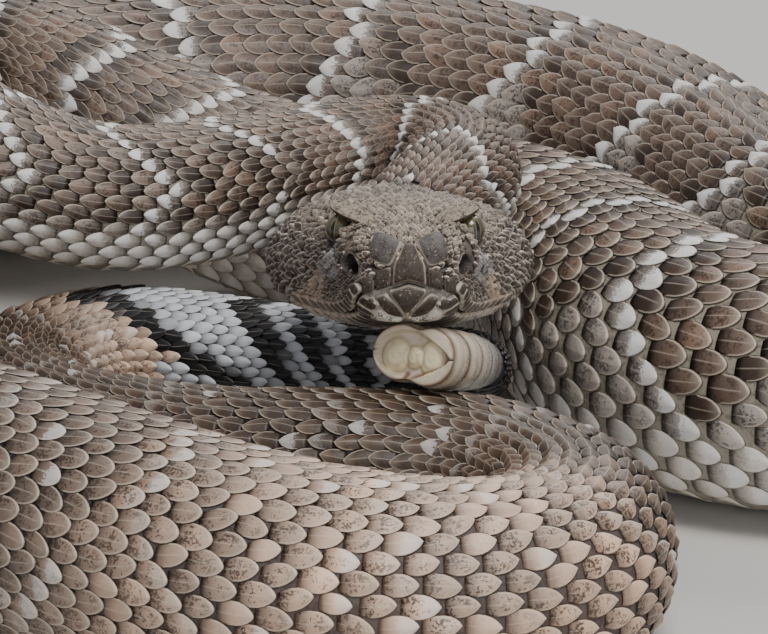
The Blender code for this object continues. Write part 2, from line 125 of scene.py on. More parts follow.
# The line of the mouth and the forms of the face, in y and z from the side.
MOUTH = (
    (-41.0, 49.9), (-39.2, 48.5), (-37.0, 46.6), (-34.0, 44.2),
    (-30.0, 41.6), (-25.0, 39.4), (-20.0, 38.0), (-13.0, 36.9),
)
MOUTH_CORNER = -13.0
EYE = (9.7, -25.4, 53.8)
EYE_RADIUS = 2.5
EYE_BULGE = 0.35          # how much further out the wet cap stands
EYE_GAZE = (0.58, -0.80, 0.10)     # where the +X side's eye looks
BROW = (8.0, -25.3, 56.15)
BROW_HALF = (3.3, 5.6, 1.1)
BROW_TURN = (-2.0, -17.0, -25.0)   # degrees about X, Y and Z on the +X side
PIT = (-35.3, 51.7)
PIT_HALF = (2.6, 1.75)
PIT_DEPTH = 3.4
NOSTRIL = (-39.4, 53.0)
NOSTRIL_HALF = (0.5, 0.42)
NOSTRIL_DEPTH = 1.1
RING_TOP = 55.6           # the rims round eyes and pits stay below this height
LIP_PITCH = 2.2
LIP_FROM = -38.7
LIP_PLATES = 12
CHEEK_STRIPE = ((-28.4, 50.0), (-27.0, 48.3), (-22.0, 44.6), (-18.4, 40.6), (-16.2, 37.8))

# Ridges on the side of the face, as bent lines in y and z, with their
# half-width and how far they stand out.
RIDGES = (
    (((-29.9, 55.6), (-31.0, 53.4), (-32.0, 51.6), (-33.0, 50.6)), 1.55, 1.15),
    (((-31.8, 56.2), (-35.0, 55.4), (-38.2, 54.6)), 0.85, 0.75),
    (((-30.2, 50.4), (-27.0, 49.8), (-24.4, 48.4), (-23.6, 46.6)), 1.35, 1.0),
    (((-27.0, 56.0), (-23.0, 55.6), (-20.0, 54.6)), 1.2, 0.5),
)

# Plates of the face: offset from the head's middle, and height as seen from in
# front and SEEN_FROM above. Those on one side only are mirrored.
SEEN_FROM = math.radians(20.0)
ROSTRAL = (
    (-2.8, 32.8), (-1.8, 33.25), (0.0, 33.75), (1.8, 33.25), (2.8, 32.8), (2.7, 34.6), (2.57, 36.2),
    (1.8, 37.6), (1.1, 39.3), (0.6, 39.95), (-0.6, 39.95), (-1.1, 39.3), (-1.8, 37.6), (-2.57, 36.2),
    (-2.7, 34.6),
)
MENTAL = (
    (-3.6, 32.1), (-1.8, 32.6), (-0.2, 33.2), (1.4, 32.8), (3.1, 32.2), (0.1, 28.3), (-0.7, 28.3),
)
NASAL = (
    (1.0, 39.9), (1.3, 40.2), (2.6, 41.0), (4.4, 41.7), (5.3, 41.6), (6.0, 40.2), (6.5, 37.6),
    (6.2, 36.9), (4.2, 35.9), (3.2, 35.9), (2.75, 36.3), (2.0, 37.7),
)
FIRST_LIP = ((2.85, 35.9), (4.3, 35.75), (5.4, 34.4), (5.3, 31.85), (4.2, 32.2), (3.05, 32.8))
SECOND_LIP = ((5.55, 34.4), (6.6, 34.5), (7.3, 34.0), (7.4, 31.3), (5.55, 31.75))
FIRST_CHIN = (
    (3.7, 31.9), (5.2, 31.3), (4.4, 29.7), (3.2, 28.6), (1.6, 28.1), (0.2, 27.9), (0.55, 28.6),
)
SECOND_CHIN = ((5.4, 31.2), (7.0, 30.7), (6.4, 29.8), (5.3, 29.1), (4.6, 29.5))
CHIN_SHIELD = (
    (4.5, 29.1), (6.0, 28.7), (6.0, 27.9), (3.4, 27.5), (0.4, 27.4), (0.4, 27.7), (1.8, 27.9),
    (3.2, 28.4),
)
JAW_OFFSET = -0.25        # the lower jaw rests a little to the snake's right
PLATE_RINGS = (0.25, 0.5, 0.7, 0.82, 0.90, 0.96, 1.0)
PLATE_LIFT = 1.05
UV_CELLS = 12             # plates along one side of their bake map
UV_PATCH = 0.003          # size of one scale in its bake map

# The rattle's end, the point where it leaves the tail's line, its segments and
# the half-sizes of one. Each inner lobe of the broken end is x, z, its
# half-width, half-height and how far it bulges.
RATTLE_TIP = (2.5, -38.0, 37.4)
RATTLE_ELBOW = 5.0
RATTLE_SEGMENTS = 8
RATTLE_HALF = (7.3, 5.15)
RATTLE_TWIST = 0.06
RATTLE_POWER = 2.3
RATTLE_COLUMNS = 128
RATTLE_LOBES = ((3.0, -0.5, 2.5, 2.9, 1.5), (-0.1, -0.4, 1.7, 1.9, 1.35), (-2.9, -0.2, 2.1, 3.0, 1.05))

# The pattern's period in millimetres at some places along the snake.
BLOTCH_SPACING = np.array((
    (0, 19), (91, 20), (226, 23), (329, 27), (500, 31), (600, 38), (800, 36), (1000, 31), (1140, 27),
), float).T
WHITE_LINE_AT = 329.0     # one of the pale lines that part the blotches
STRAIGHT_ROWS = 4.0       # rows each side of the back over which a pale line runs straight
FORE_CORNER = 6.0         # row where the fore body's pale lines turn back
FORE_TO = 270.0
HIND_FROM, HIND_TO = 690.0, 800.0
INNER_SHADE = np.array((0.87, 0.89, 0.91))   # painted shade: the arm inside the front coil, under the neck, is painted darker and browner

# Band edges on the tail: s at EDGE_ANGLE round from the back, and how much
# further back the edge lies for each radian down the side. Dark comes first.
EDGE_ANGLE = 0.9
TAIL_EDGES = (
    (1163.9, 17.5), (1171.3, 16.0), (1182.6, 6.8), (1188.1, 5.4), (1191.9, 5.2),
    (1196.0, 5.0), (1199.6, 2.7), (1203.9, 2.3), (1205.8, 2.7),
)

# Camera and light, with the places of the lamps in metres
ELEVATION = math.radians(20.0)
DISTANCE = 1400.0
TARGET = (-2.06, -18.6, 36.6)
SENSOR, LENS = 36.0, 413.4
FLOOR_COLOUR = (0.62, 0.60, 0.57, 1.0)
SKY_COLOUR = (0.86, 0.90, 1.0, 1.0)
SKY_STRENGTH = 0.27
LIT_POINT = (0.0, 0.0, 0.03)
LAMPS = (
    ("key", (0.24, -0.42, 1.18), 0.5, 12.0, (1.0, 0.98, 0.96)),
    ("fill", (0.20, -1.2, 0.35), 0.8, 5.4, (0.95, 0.97, 1.0)),
    ("rim", (0.3, 1.0, 0.9), 0.8, 8.0, (1.0, 0.98, 0.95)),
)


def linear(red, green, blue):
    """Colour given in the 0 to 255 of a screen, as scene-linear values."""
    c = np.array((red, green, blue), float) / 255.0
    return np.where(c > 0.04045, ((c + 0.055) / 1.055) ** 2.4, c / 12.92)


# Colours of the skin
BLOTCH_BROWN = linear(106, 87, 74)
RUSTY = linear(142, 112, 92)
GROUND_TAN = linear(154, 142, 133)
FLANK_GREY = linear(162, 152, 144)
HIND_TAN = linear(142, 122, 102)
HIND_PINK = linear(222, 184, 156)
SPOT_DARK = linear(54, 38, 28)
WHITE_SCALE = linear(232, 232, 230)
CREAM = linear(228, 220, 206)
SCALE_RIM = linear(224, 210, 190)
# painted shade: dark line along each scale's outer edge, for the gap beneath it
SCALE_GAP_SHADE = linear(48, 36, 28)
SPECK = linear(46, 32, 24)
SKIN_CREAM = linear(186, 176, 156)
SKIN_BLUE = linear(74, 74, 84)
BLACK_BAND = linear(24, 23, 26)
WHITE_BAND = linear(205, 208, 212)

# Colours of the head
HEAD_TAN = linear(186, 168, 146)
HEAD_GREY = linear(152, 140, 128)
HEAD_DARK = linear(136, 125, 118)
STRIPE_BLUE = linear(186, 186, 188)
STRIPE_CREAM = linear(208, 186, 158)
LIP_ORANGE = linear(200, 164, 138)
CHIN_WHITE = linear(226, 222, 208)
CHIN_GREY = linear(230, 220, 208)
PLATE_GREY = linear(76, 67, 60)
PLATE_BLUE = linear(86, 82, 80)
PLATE_RIM = linear(200, 190, 174)
# painted shade: near-black tint for the inside of pits, nostrils and the mouth line
HOLLOW_SHADE = linear(22, 15, 11)
# painted shade: dark brown for the underside of the brow's overhang
BROW_UNDER_SHADE = linear(62, 48, 36)
IRIS_GOLD = linear(118, 106, 70)
IRIS_DARK = linear(48, 42, 30)
IRIS_PALE = linear(180, 174, 140)
PUPIL = linear(10, 9, 8)

# Colours of the rattle
RATTLE_CREAM = linear(208, 194, 172)
RATTLE_GREY = linear(150, 146, 142)
RATTLE_DARK = linear(40, 40, 46)
RATTLE_YELLOW = linear(224, 210, 168)
RATTLE_BROWN = linear(104, 62, 34)


def smooth(low, high, x):
    """Eased step from 0 at `low` to 1 at `high`."""
    t = np.clip((np.asarray(x, float) - low) / (high - low), 0.0, 1.0)
    return t * t * (3.0 - 2.0 * t)


def fade(low, high, x):
    """Eased step from 1 at `low` to 0 at `high`."""
    return 1.0 - smooth(low, high, x)


def blend(first, second, share):
    """Mix of two colours or arrays of colours."""
    share = np.asarray(share, float)[..., None]
    return first * (1.0 - share) + second * share


def beside(*parts):
    """Arrays side by side, as the last axis of one."""
    return np.stack(np.broadcast_arrays(*parts), axis=-1)


def with_fourth(colour, value):
    """Colours with one more value after their three."""
    return np.concatenate([colour, np.broadcast_to(value, colour.shape[:-1])[..., None]], axis=-1)


def unit(vectors):
    """Vectors of length one along the last axis."""
    return vectors / np.maximum(np.linalg.norm(vectors, axis=-1, keepdims=True), 1e-9)


def natural_spline(knots, values, at):
    """Cubic curve through the values, bent like a springy strip with free ends."""
    count = len(knots)
    gap = np.diff(knots)
    left = np.eye(count)
    right = np.zeros((count, values.shape[1]))
    for i in range(1, count - 1):
        left[i, i - 1 : i + 2] = gap[i - 1], 2.0 * (gap[i - 1] + gap[i]), gap[i]
        rise = (values[i + 1] - values[i]) / gap[i] - (values[i] - values[i - 1]) / gap[i - 1]
        right[i] = 6.0 * rise
    bend = np.linalg.solve(left, right)
    k = np.clip(np.searchsorted(knots, at, side="right") - 1, 0, count - 2)
    since = (at - knots[k])[:, None]
    until = (knots[k + 1] - at)[:, None]
    span = gap[k][:, None]
    cubic = (bend[k] * until**3 + bend[k + 1] * since**3) / (6.0 * span)
    start = (values[k] / span - bend[k] * span / 6.0) * until
    end = (values[k + 1] / span - bend[k + 1] * span / 6.0) * since
    return cubic + start + end


def smooth_route():
    """The route's axis at each millimetre: x, y, z and half-width."""
    points = np.array(ROUTE, float)
    points[:, 2] += HEIGHT_TO_WIDTH * points[:, 3]
    hops = np.linalg.norm(np.diff(points[:, :2], axis=0), axis=1)
    knots = np.r_[0.0, np.cumsum(np.sqrt(hops))]
    fine = natural_spline(knots, points, np.linspace(0.0, knots[-1], 6000))
    along = np.r_[0.0, np.cumsum(np.linalg.norm(np.diff(fine[:, :3], axis=0), axis=1))]
    at = np.linspace(0.0, along[-1], int(along[-1]) + 1)
    axis = beside(*(np.interp(at, along, column) for column in fine.T))
    axis[:, 2] = np.maximum(axis[:, 2], HEIGHT_TO_WIDTH * axis[:, 3])
    return at, axis


def stations():
    """Everything that a section needs, at fine steps from snout to tail end.

    Columns: s, centre x y z, side x y z, up x y z, half-width, rise to the back,
    drop to the belly, power above and power below.
    """
    at, axis = smooth_route()
    ahead = unit(np.gradient(axis[:, :3], axis=0))
    side = unit(np.cross(ahead, (0.0, 0.0, 1.0)))
    up = np.cross(side, ahead)
    slim = 1.0 - TAIL_SLIM * np.clip((at - at[-1] + TAIL_SLIM_OVER) / TAIL_SLIM_OVER, 0.0, 1.0) ** 2
    half = axis[:, 3:4] * slim[:, None]
    rest = np.concatenate([half * HEIGHT_TO_WIDTH] * 2, axis=1)
    powers = np.tile((BACK_POWER, BELLY_POWER), (len(at), 1))
    body = np.concatenate([at[:, None], axis[:, :3], side, up, half, rest, powers], axis=1)

    rows = np.array(HEAD_ROWS)
    y = np.arange(SNOUT_Y, rows[-1, 0] + 0.01, 0.25)
    row = natural_spline(rows[:, 0], rows[:, 1:], y)
    share = smooth(HEAD_TURN_FROM, NECK_Y, y)
    yaw = math.atan2(-ahead[0, 0], ahead[0, 1]) * share
    straight = SNOUT_X + HEAD_SLANT * (y - SNOUT_Y)
    head = beside(
        y - NECK_Y, straight + (ROUTE[0][0] - straight) * share, y, row[:, 1],
        np.cos(yaw), np.sin(yaw), 0.0,
        0.0, 0.0, 1.0,
        row[:, 0], row[:, 2] - row[:, 1], row[:, 1] - row[:, 3],
        row[:, 4], row[:, 5],
    )
    return np.concatenate([head, body], axis=0)


STATIONS = stations()
S_SNOUT = STATIONS[0, 0]
S_END = STATIONS[-1, 0]


def section(s):
    """The columns of STATIONS after the first, at s."""
    return [np.interp(s, STATIONS[:, 0], STATIONS[:, i]) for i in range(1, 15)]


def raw_point(s, a, depth):
    """Point on the surface that lies `depth` under the frame's skin."""
    s, a = np.broadcast_arrays(np.asarray(s, float), np.asarray(a, float))
    row = section(s)
    sin, cos = np.sin(a), np.cos(a)
    power = np.where(cos > 0.0, row[12], row[13])
    reach = (np.abs(sin) ** power + np.abs(cos) ** power) ** (-1.0 / power)
    half = np.maximum(row[9] - depth, 0.05)
    rise = np.maximum(np.where(cos > 0.0, row[10], row[11]) - depth, 0.05)
    centre, side, up = (beside(*row[i : i + 3]) for i in (0, 3, 6))
    return centre + side * (sin * reach * half)[..., None] + up * (cos * reach * rise)[..., None]


def on_skin(s, a, lift=0.0, depth=COAT):
    """Point on the skin, raised by `lift` along its normal."""
    s, a = np.asarray(s, float), np.asarray(a, float)
    along = raw_point(s + 0.4, a, depth) - raw_point(s - 0.4, a, depth)
    around = raw_point(s, a + 0.02, depth) - raw_point(s, a - 0.02, depth)
    return raw_point(s, a, depth) + unit(np.cross(around, along)) * np.asarray(lift)[..., None]


def surface_stretch(s, a):
    """Millimetres on the surface for each millimetre of s."""
    return np.linalg.norm(raw_point(s + 0.5, a, 0.0) - raw_point(s - 0.5, a, 0.0), axis=-1)


def off_back(a):
    """Angle between a place and the back, without its side."""
    return np.abs((a + np.pi) % (2.0 * np.pi) - np.pi)


def side_reach(y, z):
    """Distance from the head's middle to its skin at a height, and that point's angle."""
    row = section(np.asarray(y) - NECK_Y)
    above = z > row[2]
    power = np.where(above, row[12], row[13])
    share = np.clip(np.abs(z - row[2]) / np.where(above, row[10], row[11]), 0.0, 1.0)
    across = (1.0 - share**power) ** (1.0 / power)
    return row[9] * across, np.arctan2(across, np.where(above, share, -share))


def on_side(sign, y, z, lift):
    """Point on the side of the head over y and z, raised by `lift`."""
    return on_skin(y - NECK_Y, sign * side_reach(y, z)[1], lift)


def seen_spot(x, w):
    """Where the face meets a line of sight at offset x and seen height w."""
    cos, sin = math.cos(SEEN_FROM), math.sin(SEEN_FROM)
    x, w = np.broadcast_arrays(np.asarray(x, float), np.asarray(w, float))
    near = (SNOUT_Y - 0.5 - sin * w) / cos
    far = (MOUTH_CORNER - sin * w) / cos
    for _ in range(26):
        middle = 0.5 * (near + far)
        y, z = sin * w + cos * middle, cos * w - sin * middle
        inside = (y > SNOUT_Y) & (side_reach(y, z)[0] > np.abs(x))
        near, far = np.where(inside, near, middle), np.where(inside, middle, far)
    y, z = sin * w + cos * far, cos * w - sin * far
    round_off = np.clip(1.0 - (x / 4.4) ** 2, 0.0, 1.0) * np.clip(1.0 - ((z - 50.2) / 4.0) ** 2, 0.0, 1.0)
    y = y - SNOUT_ROUND * round_off * fade(0.0, 3.0, y - SNOUT_Y)
    return beside(section(y - NECK_Y)[0] + x, y, z)


def on_face(x, w, lift):
    """Point on the face at an offset and seen height, raised by `lift`."""
    hop = 0.2
    across = seen_spot(x + hop, w) - seen_spot(x - hop, w)
    rising = seen_spot(x, w + hop) - seen_spot(x, w - hop)
    return seen_spot(x, w) + unit(np.cross(across, rising)) * (np.asarray(lift) - COAT)[..., None]


def place(points):
    """Pile coordinates in millimetres to the frame in metres."""
    return (np.asarray(points, float) - PILE_CENTRE) * MM


def pile_centre(sides=20):
    """Middle of the pile's box in plan, from the body's sections."""
    turn = 2.0 * np.pi * (np.arange(sides) + 0.5) / sides
    ring = raw_point(np.arange(0.0, S_END, 2.0)[:, None], turn, 0.0).reshape(-1, 3)
    return 0.5 * (ring.min(0) + ring.max(0)) * (1.0, 1.0, 0.0)


PILE_CENTRE = pile_centre()


def along_line(y, z, line):
    """Distance in the side view from a bent line, and how far along it lies."""
    best = np.full(np.shape(y), 1e9)
    share = np.zeros(np.shape(y))
    spans = len(line) - 1
    for k in range(spans):
        start, end = np.array(line[k]), np.array(line[k + 1])
        step = end - start
        t = np.clip(((y - start[0]) * step[0] + (z - start[1]) * step[1]) / (step @ step), 0.0, 1.0)
        gap = np.hypot(y - start[0] - t * step[0], z - start[1] - t * step[1])
        share = np.where(gap < best, (k + t) / spans, share)
        best = np.minimum(best, gap)
    return best, share


def lip_level(y):
    """Height of the mouth line at y."""
    return np.interp(y, *np.array(MOUTH).T)


def crown_level(y):
    """Height at y where the pale crown gives way to the darker cheek."""
    return 53.2 - 0.17 * (y + 25.0)


def in_oval(y, z, middle, half):
    """Distance from an oval's middle, where 1 is its edge."""
    return np.hypot((y - middle[0]) / half[0], (z - middle[1]) / half[1])


def face_relief(s, point):
    """How far the ridges of the face stand out at points of the surface."""
    high = np.zeros(point.shape[:-1])
    for line, half, lift in RIDGES:
        gap, _ = along_line(point[..., 1], point[..., 2], line)
        high = np.maximum(high, lift * fade(0.45 * half, 1.15 * half, gap))
    return high * smooth(4.0, 6.5, np.abs(point[..., 0] - section(s)[0]))


def face_hollow(y, z):
    """How deep pits, nostrils and the mouth line sink into the skin."""
    deep = np.zeros(np.shape(y))
    for middle, half, depth in ((PIT, PIT_HALF, PIT_DEPTH), (NOSTRIL, NOSTRIL_HALF, NOSTRIL_DEPTH)):
        deep = np.maximum(deep, depth * fade(0.55, 1.05, in_oval(y, z, middle, half)))
    groove = 0.5 * fade(0.15, 0.5, np.abs(z - lip_level(y))) * (y < MOUTH_CORNER)
    return np.maximum(deep, groove)


def head_marking(s, a):
    """Colour of the head and how speckled it is, as four values."""
    x, y, z = np.moveaxis(raw_point(s, a, 0.0), -1, 0)
    under_lip = lip_level(y) - z
    cloud = np.sin(0.9 * x + 1.3 * y) * np.sin(0.7 * x - 0.8 * y + 2.0)
    crown = blend(HEAD_TAN, HEAD_GREY, 0.5 + 0.5 * cloud)
    colour = blend(HEAD_DARK, crown, smooth(-3.4, 1.2, z - crown_level(y)))
    colour = blend(colour, HEAD_GREY, 0.65 * smooth(-14.0, -2.0, y) * smooth(44.0, 50.0, z))
    gap, share = along_line(y, z, CHEEK_STRIPE)
    stripe = blend(STRIPE_BLUE, STRIPE_CREAM, smooth(0.30, 0.6, share))
    stripe = blend(stripe, LIP_ORANGE, smooth(0.70, 0.95, share))
    near = fade(0.7, 1.5, gap - 0.4 - 0.9 * fade(0.15, 0.4, share))
    colour = blend(colour, stripe, 0.85 * near)
    margin = fade(0.2, 1.3, np.abs(under_lip)) * fade(-12.0, -9.0, y)
    margin = margin * smooth(-38.0, -34.0, y)
    colour = blend(colour, LIP_ORANGE, 0.75 * margin)
    below = smooth(0.2, 0.6, under_lip) * fade(-13.0, -9.0, y)
    chin = blend(CHIN_GREY, CHIN_WHITE, smooth(3.0, 5.5, under_lip) * fade(-28.0, -16.0, y))
    colour = blend(colour, chin, below)
    under = smooth(1.9, 2.4, off_back(a))
    colour = blend(colour, CHIN_GREY, under * (1.0 - below))
    speckle = 1.0 - 0.85 * np.maximum(below * smooth(1.8, 3.4, under_lip), under)
    speckle = np.clip(speckle - 0.75 * near - 0.4 * margin, 0.0, 1.0)
    return with_fourth(colour, speckle)


def marking(s, a):
    """Colour of the pattern and how speckled it is, as four values."""
    s, a = np.broadcast_arrays(np.asarray(s, float), np.asarray(a, float))
    colour, speckle, _ = body_paint(s, a)
    return blend(head_marking(s, a), with_fourth(colour, speckle), smooth(-9.0, 2.0, s))


def blotch_spacing(s):
    """The pattern's period at s."""
    return np.interp(s, *BLOTCH_SPACING)


def scale_lattice():
    """Pitch and count of scales, and count of blotches, from the neck on."""
    step = 0.5
    s = np.arange(0.0, S_END, step)
    pitch = SCALE_PITCH * (section(s)[9] / FULL_HALF_WIDTH) ** 0.7
    blotches = np.cumsum(step / blotch_spacing(s))
    return s, pitch, np.cumsum(step / pitch), blotches - np.interp(WHITE_LINE_AT, s, blotches)


LATTICE = scale_lattice()


def blotch_place(s, row):
    """How many scales a place lies inside a blotch, and off the nearest pale line."""
    at, pitch, _, blotches = LATTICE
    turns = np.interp(s, at, blotches)
    period = blotch_spacing(s) / np.interp(s, at, pitch)
    off = (turns - np.round(turns)) * period
    hind_line = 0.5 * np.maximum(row - STRAIGHT_ROWS, 0.0)
    fore_line = 0.5 * (np.maximum(row - FORE_CORNER, 0.0) - np.clip(row - 1.0, 0.0, FORE_CORNER - 1.0))
    fore = s < FORE_TO
    line = (off - np.where(fore, fore_line, hind_line) + 0.5 * period) % period - 0.5 * period
    return np.where(fore, np.abs(line), np.abs(off) - hind_line), line


def tail_bands(s, q):
    """How banded the tail is at a place, and how white its band is."""
    edges = [at + slope * (q - EDGE_ANGLE) for at, slope in TAIL_EDGES]
    white = np.zeros(np.shape(s))
    for start, end in zip(edges[1::2], edges[2::2]):
        white = np.maximum(white, smooth(-0.5, 0.5, s - start) * fade(-0.5, 0.5, s - end))
    behind = smooth(-0.5, 0.5, s - edges[0])
    before = smooth(-8.0, -7.0, s - edges[0]) * (1.0 - behind) * smooth(1.2, 1.5, q)
    return np.maximum(behind, before), np.maximum(white, before)


def body_paint(s, a, rng=None):
    """Colour, speckles and whiteness of neck, body and tail, scale by scale.

    Without a random source it gives the smooth average for the skin.
    """
    q = off_back(a)
    row = q / ROW_ANGLE
    chance, second = (np.full(s.shape, 0.5) if rng is None else rng.random(s.shape) for _ in range(2))
    inside, line = blotch_place(s, row)
    hind = smooth(HIND_FROM, HIND_TO, s)
    fore = 1.0 - hind
    low = smooth(8.5, 10.5, row)
    ground = blend(GROUND_TAN, FLANK_GREY, smooth(3.0, 8.0, row))
    rusty = 0.55 * smooth(0.55, 0.95, second) * fade(5.0, 9.0, row)
    within_blotch = smooth(0.2, 0.7, inside) * fade(9.0, 10.5, row)
    colour = blend(ground, blend(BLOTCH_BROWN, RUSTY, rusty), within_blotch)
    colour = blend(colour, CREAM, 0.85 * low * fore)
    spot = smooth(0.4, 0.6, inside) * fade(1.5, 1.8, inside) * (chance > 0.42)
    spot = spot * fade(8.0, 10.0, row)
    colour = blend(colour, SPOT_DARK, 0.85 * spot * (1.0 - 0.75 * hind))
    pink = 0.55 * smooth(0.35, 0.85, chance) + 0.45 * smooth(860.0, 930.0, s)
    plain = blend(blend(HIND_TAN, HIND_PINK, pink), GROUND_TAN, 0.35 * smooth(0.4, 1.0, inside) * (1.0 - low))
    plain = plain * (0.44 + 0.94 * smooth(914.0, 964.0, s))[..., None]
    colour = blend(colour, plain, 0.86 * hind)
    white = (np.abs(line) < 0.5) * (row < 12.6) * (1.0 - 0.80 * hind) * (0.75 + 0.25 * second)
    white = np.maximum(white, low * fore * (0.45 + 0.5 * smooth(0.3, 0.8, chance)))
    white = np.maximum(white, hind * 0.5 * (chance > 0.94))
    rarely = 0.24 * fade(915.0, 960.0, s)
    bare = smooth(0.62, 0.72, chance - rarely) * hind * (np.abs(inside) > 0.8)
    # the arm inside the front coil, under the neck, is painted darker and browner: painted shade
    inner_shade = smooth(985.0, 1010.0, s) * fade(1135.0, 1160.0, s)
    colour = colour * (1.0 - inner_shade[..., None] * INNER_SHADE)
    speckle = (0.72 + 0.28 * second) * (1.0 - 0.85 * bare) * (1.0 - 0.70 * low * fore)
    belly = smooth(2.30, 2.42, q)
    smudge = belly * fade(2.45, 2.75, q)
    colour = blend(blend(colour, CREAM, belly), FLANK_GREY, 0.8 * smudge)
    speckle = speckle * (1.0 - 0.7 * belly) + 0.4 * smudge
    banded, pale = tail_bands(s, q)
    colour = blend(colour, blend(BLACK_BAND, WHITE_BAND, pale), banded)
    return colour, speckle * (1.0 - banded), white * (1.0 - banded)


def ring_quads(rows, columns):
    """Faces between rings of points, each ring closed."""
    i, j = columns * np.arange(rows - 1)[:, None], np.arange(columns)
    k = (j + 1) % columns
    return beside(i + j, i + k, i + columns + k, i + columns + j).reshape(-1, 4)


def fan(ring, tip):
    """Triangles from the edges of a ring of points to one more point."""
    return beside(np.roll(ring, -1), ring, tip)


INSIDE_OUT = [0, 3, 2, 1]
FAN_INSIDE_OUT = [1, 0, 2]
NO_TRIANGLES = np.zeros((0, 3), int)


def make_mesh(name, finish, points, quads, tris, tone, uv=None, spot=None):
    """Smooth-shaded mesh object with its finish, tones and bake map.

    spot holds, for each point, how far along and across its scale it lies, how
    near the scale's edge, and how white the scale is.
    """
    data = bpy.data.meshes.new(name)
    loops = np.concatenate([quads.ravel(), tris.ravel()]).astype(np.int32)
    totals = np.repeat((4, 3), (len(quads), len(tris)))
    data.vertices.add(len(points))
    data.vertices.foreach_set("co", place(points).astype(np.float32).ravel())
    data.loops.add(len(loops))
    data.loops.foreach_set("vertex_index", loops)
    data.polygons.add(len(totals))
    data.polygons.foreach_set("loop_start", (np.cumsum(totals) - totals).astype(np.int32))
    data.polygons.foreach_set("use_smooth", np.ones(len(totals), bool))
    data.update(calc_edges=True)
    for kind, values in (("tone", tone), ("spot", spot)):
        if values is not None:
            layer = data.color_attributes.new(kind, "FLOAT_COLOR", "POINT")
            layer.data.foreach_set("color", values.astype(np.float32).ravel())
    if uv is not None:
        data.uv_layers.new(name="OFBake").data.foreach_set("uv", uv.astype(np.float32)[loops].ravel())
    data.validate()
    data.materials.append(finish)
    made = bpy.data.objects.new(name, data)
    bpy.context.scene.collection.objects.link(made)
    return made


def joined(name, finish, parts):
    """One mesh object from parts of points, quads, triangles, tones and bake map."""
    points, quads, tris, tones, uvs = zip(*parts)
    start = np.cumsum([0] + [len(some) for some in points])
    quads = np.concatenate([some + first for some, first in zip(quads, start)])
    tris = np.concatenate([some + first for some, first in zip(tris, start)])
    points, tones, uvs = (np.concatenate(some) for some in (points, tones, uvs))
    return make_mesh(name, finish, points, quads, tris, tones, uvs)


class Graph:
    """A new material and short ways to add nodes to it."""

    def __init__(self, name):
        self.material = bpy.data.materials.new(name)
        self.material.use_nodes = True
        self.tree = self.material.node_tree

    def feed(self, node, inputs):
        """Link each input to its socket, or set it to its value."""
        for key, value in inputs.items():
            if isinstance(value, bpy.types.NodeSocket):
                self.tree.links.new(value, node.inputs[key])
            else:
                node.inputs[key].default_value = value

    def shade(self, inputs):
        """Feed the material's shader, and give the material."""
        self.feed(self.tree.nodes["Principled BSDF"], inputs)
        return self.material

    def node(self, kind, inputs=None, **settings):
        """Outputs of a new node with its settings and inputs."""
        made = self.tree.nodes.new(f"ShaderNode{kind}")
        for key, value in settings.items():
            setattr(made, key, value)
        self.feed(made, inputs or {})
        return made.outputs

    def attribute(self, name):
        """Colour and fourth value of a mesh's attribute."""
        made = self.node("Attribute", attribute_name=name)
        return made["Color"], made["Alpha"]

    def noise(self, size, detail, rough):
        """Outputs of a noise of a size in millimetres."""
        where = self.node("TexCoord")["Object"]
        inputs = {"Vector": where, "Scale": 1.0 / (size * MM), "Detail": detail, "Roughness": rough}
        return self.node("TexNoise", inputs)

    def step(self, value, low, high, start=0.0, end=1.0):
        """Eased step of a value between two limits."""
        inputs = {"Value": value, "From Min": low, "From Max": high, "To Min": start, "To Max": end}
        return self.node("MapRange", inputs, interpolation_type="SMOOTHSTEP")["Result"]

    def sum_of(self, kind, first, second):
        """Two values added, subtracted or multiplied."""
        return self.node("Math", {0: first, 1: second}, operation=kind)["Value"]

    def times(self, *values):
        """Product of two or more values."""
        return functools.reduce(functools.partial(self.sum_of, "MULTIPLY"), values)

    def mix(self, first, second, share):
        """Colour mixed towards another by a share."""
        inputs = {"A": first, "B": (*second, 1.0), "Factor": share}
        return self.node("Mix", inputs, data_type="RGBA")["Result"]

    def bump(self, height, strength, distance):
        """Normal over a fine relief."""
        return self.node("Bump", {"Strength": strength, "Distance": distance, "Height": height})["Normal"]


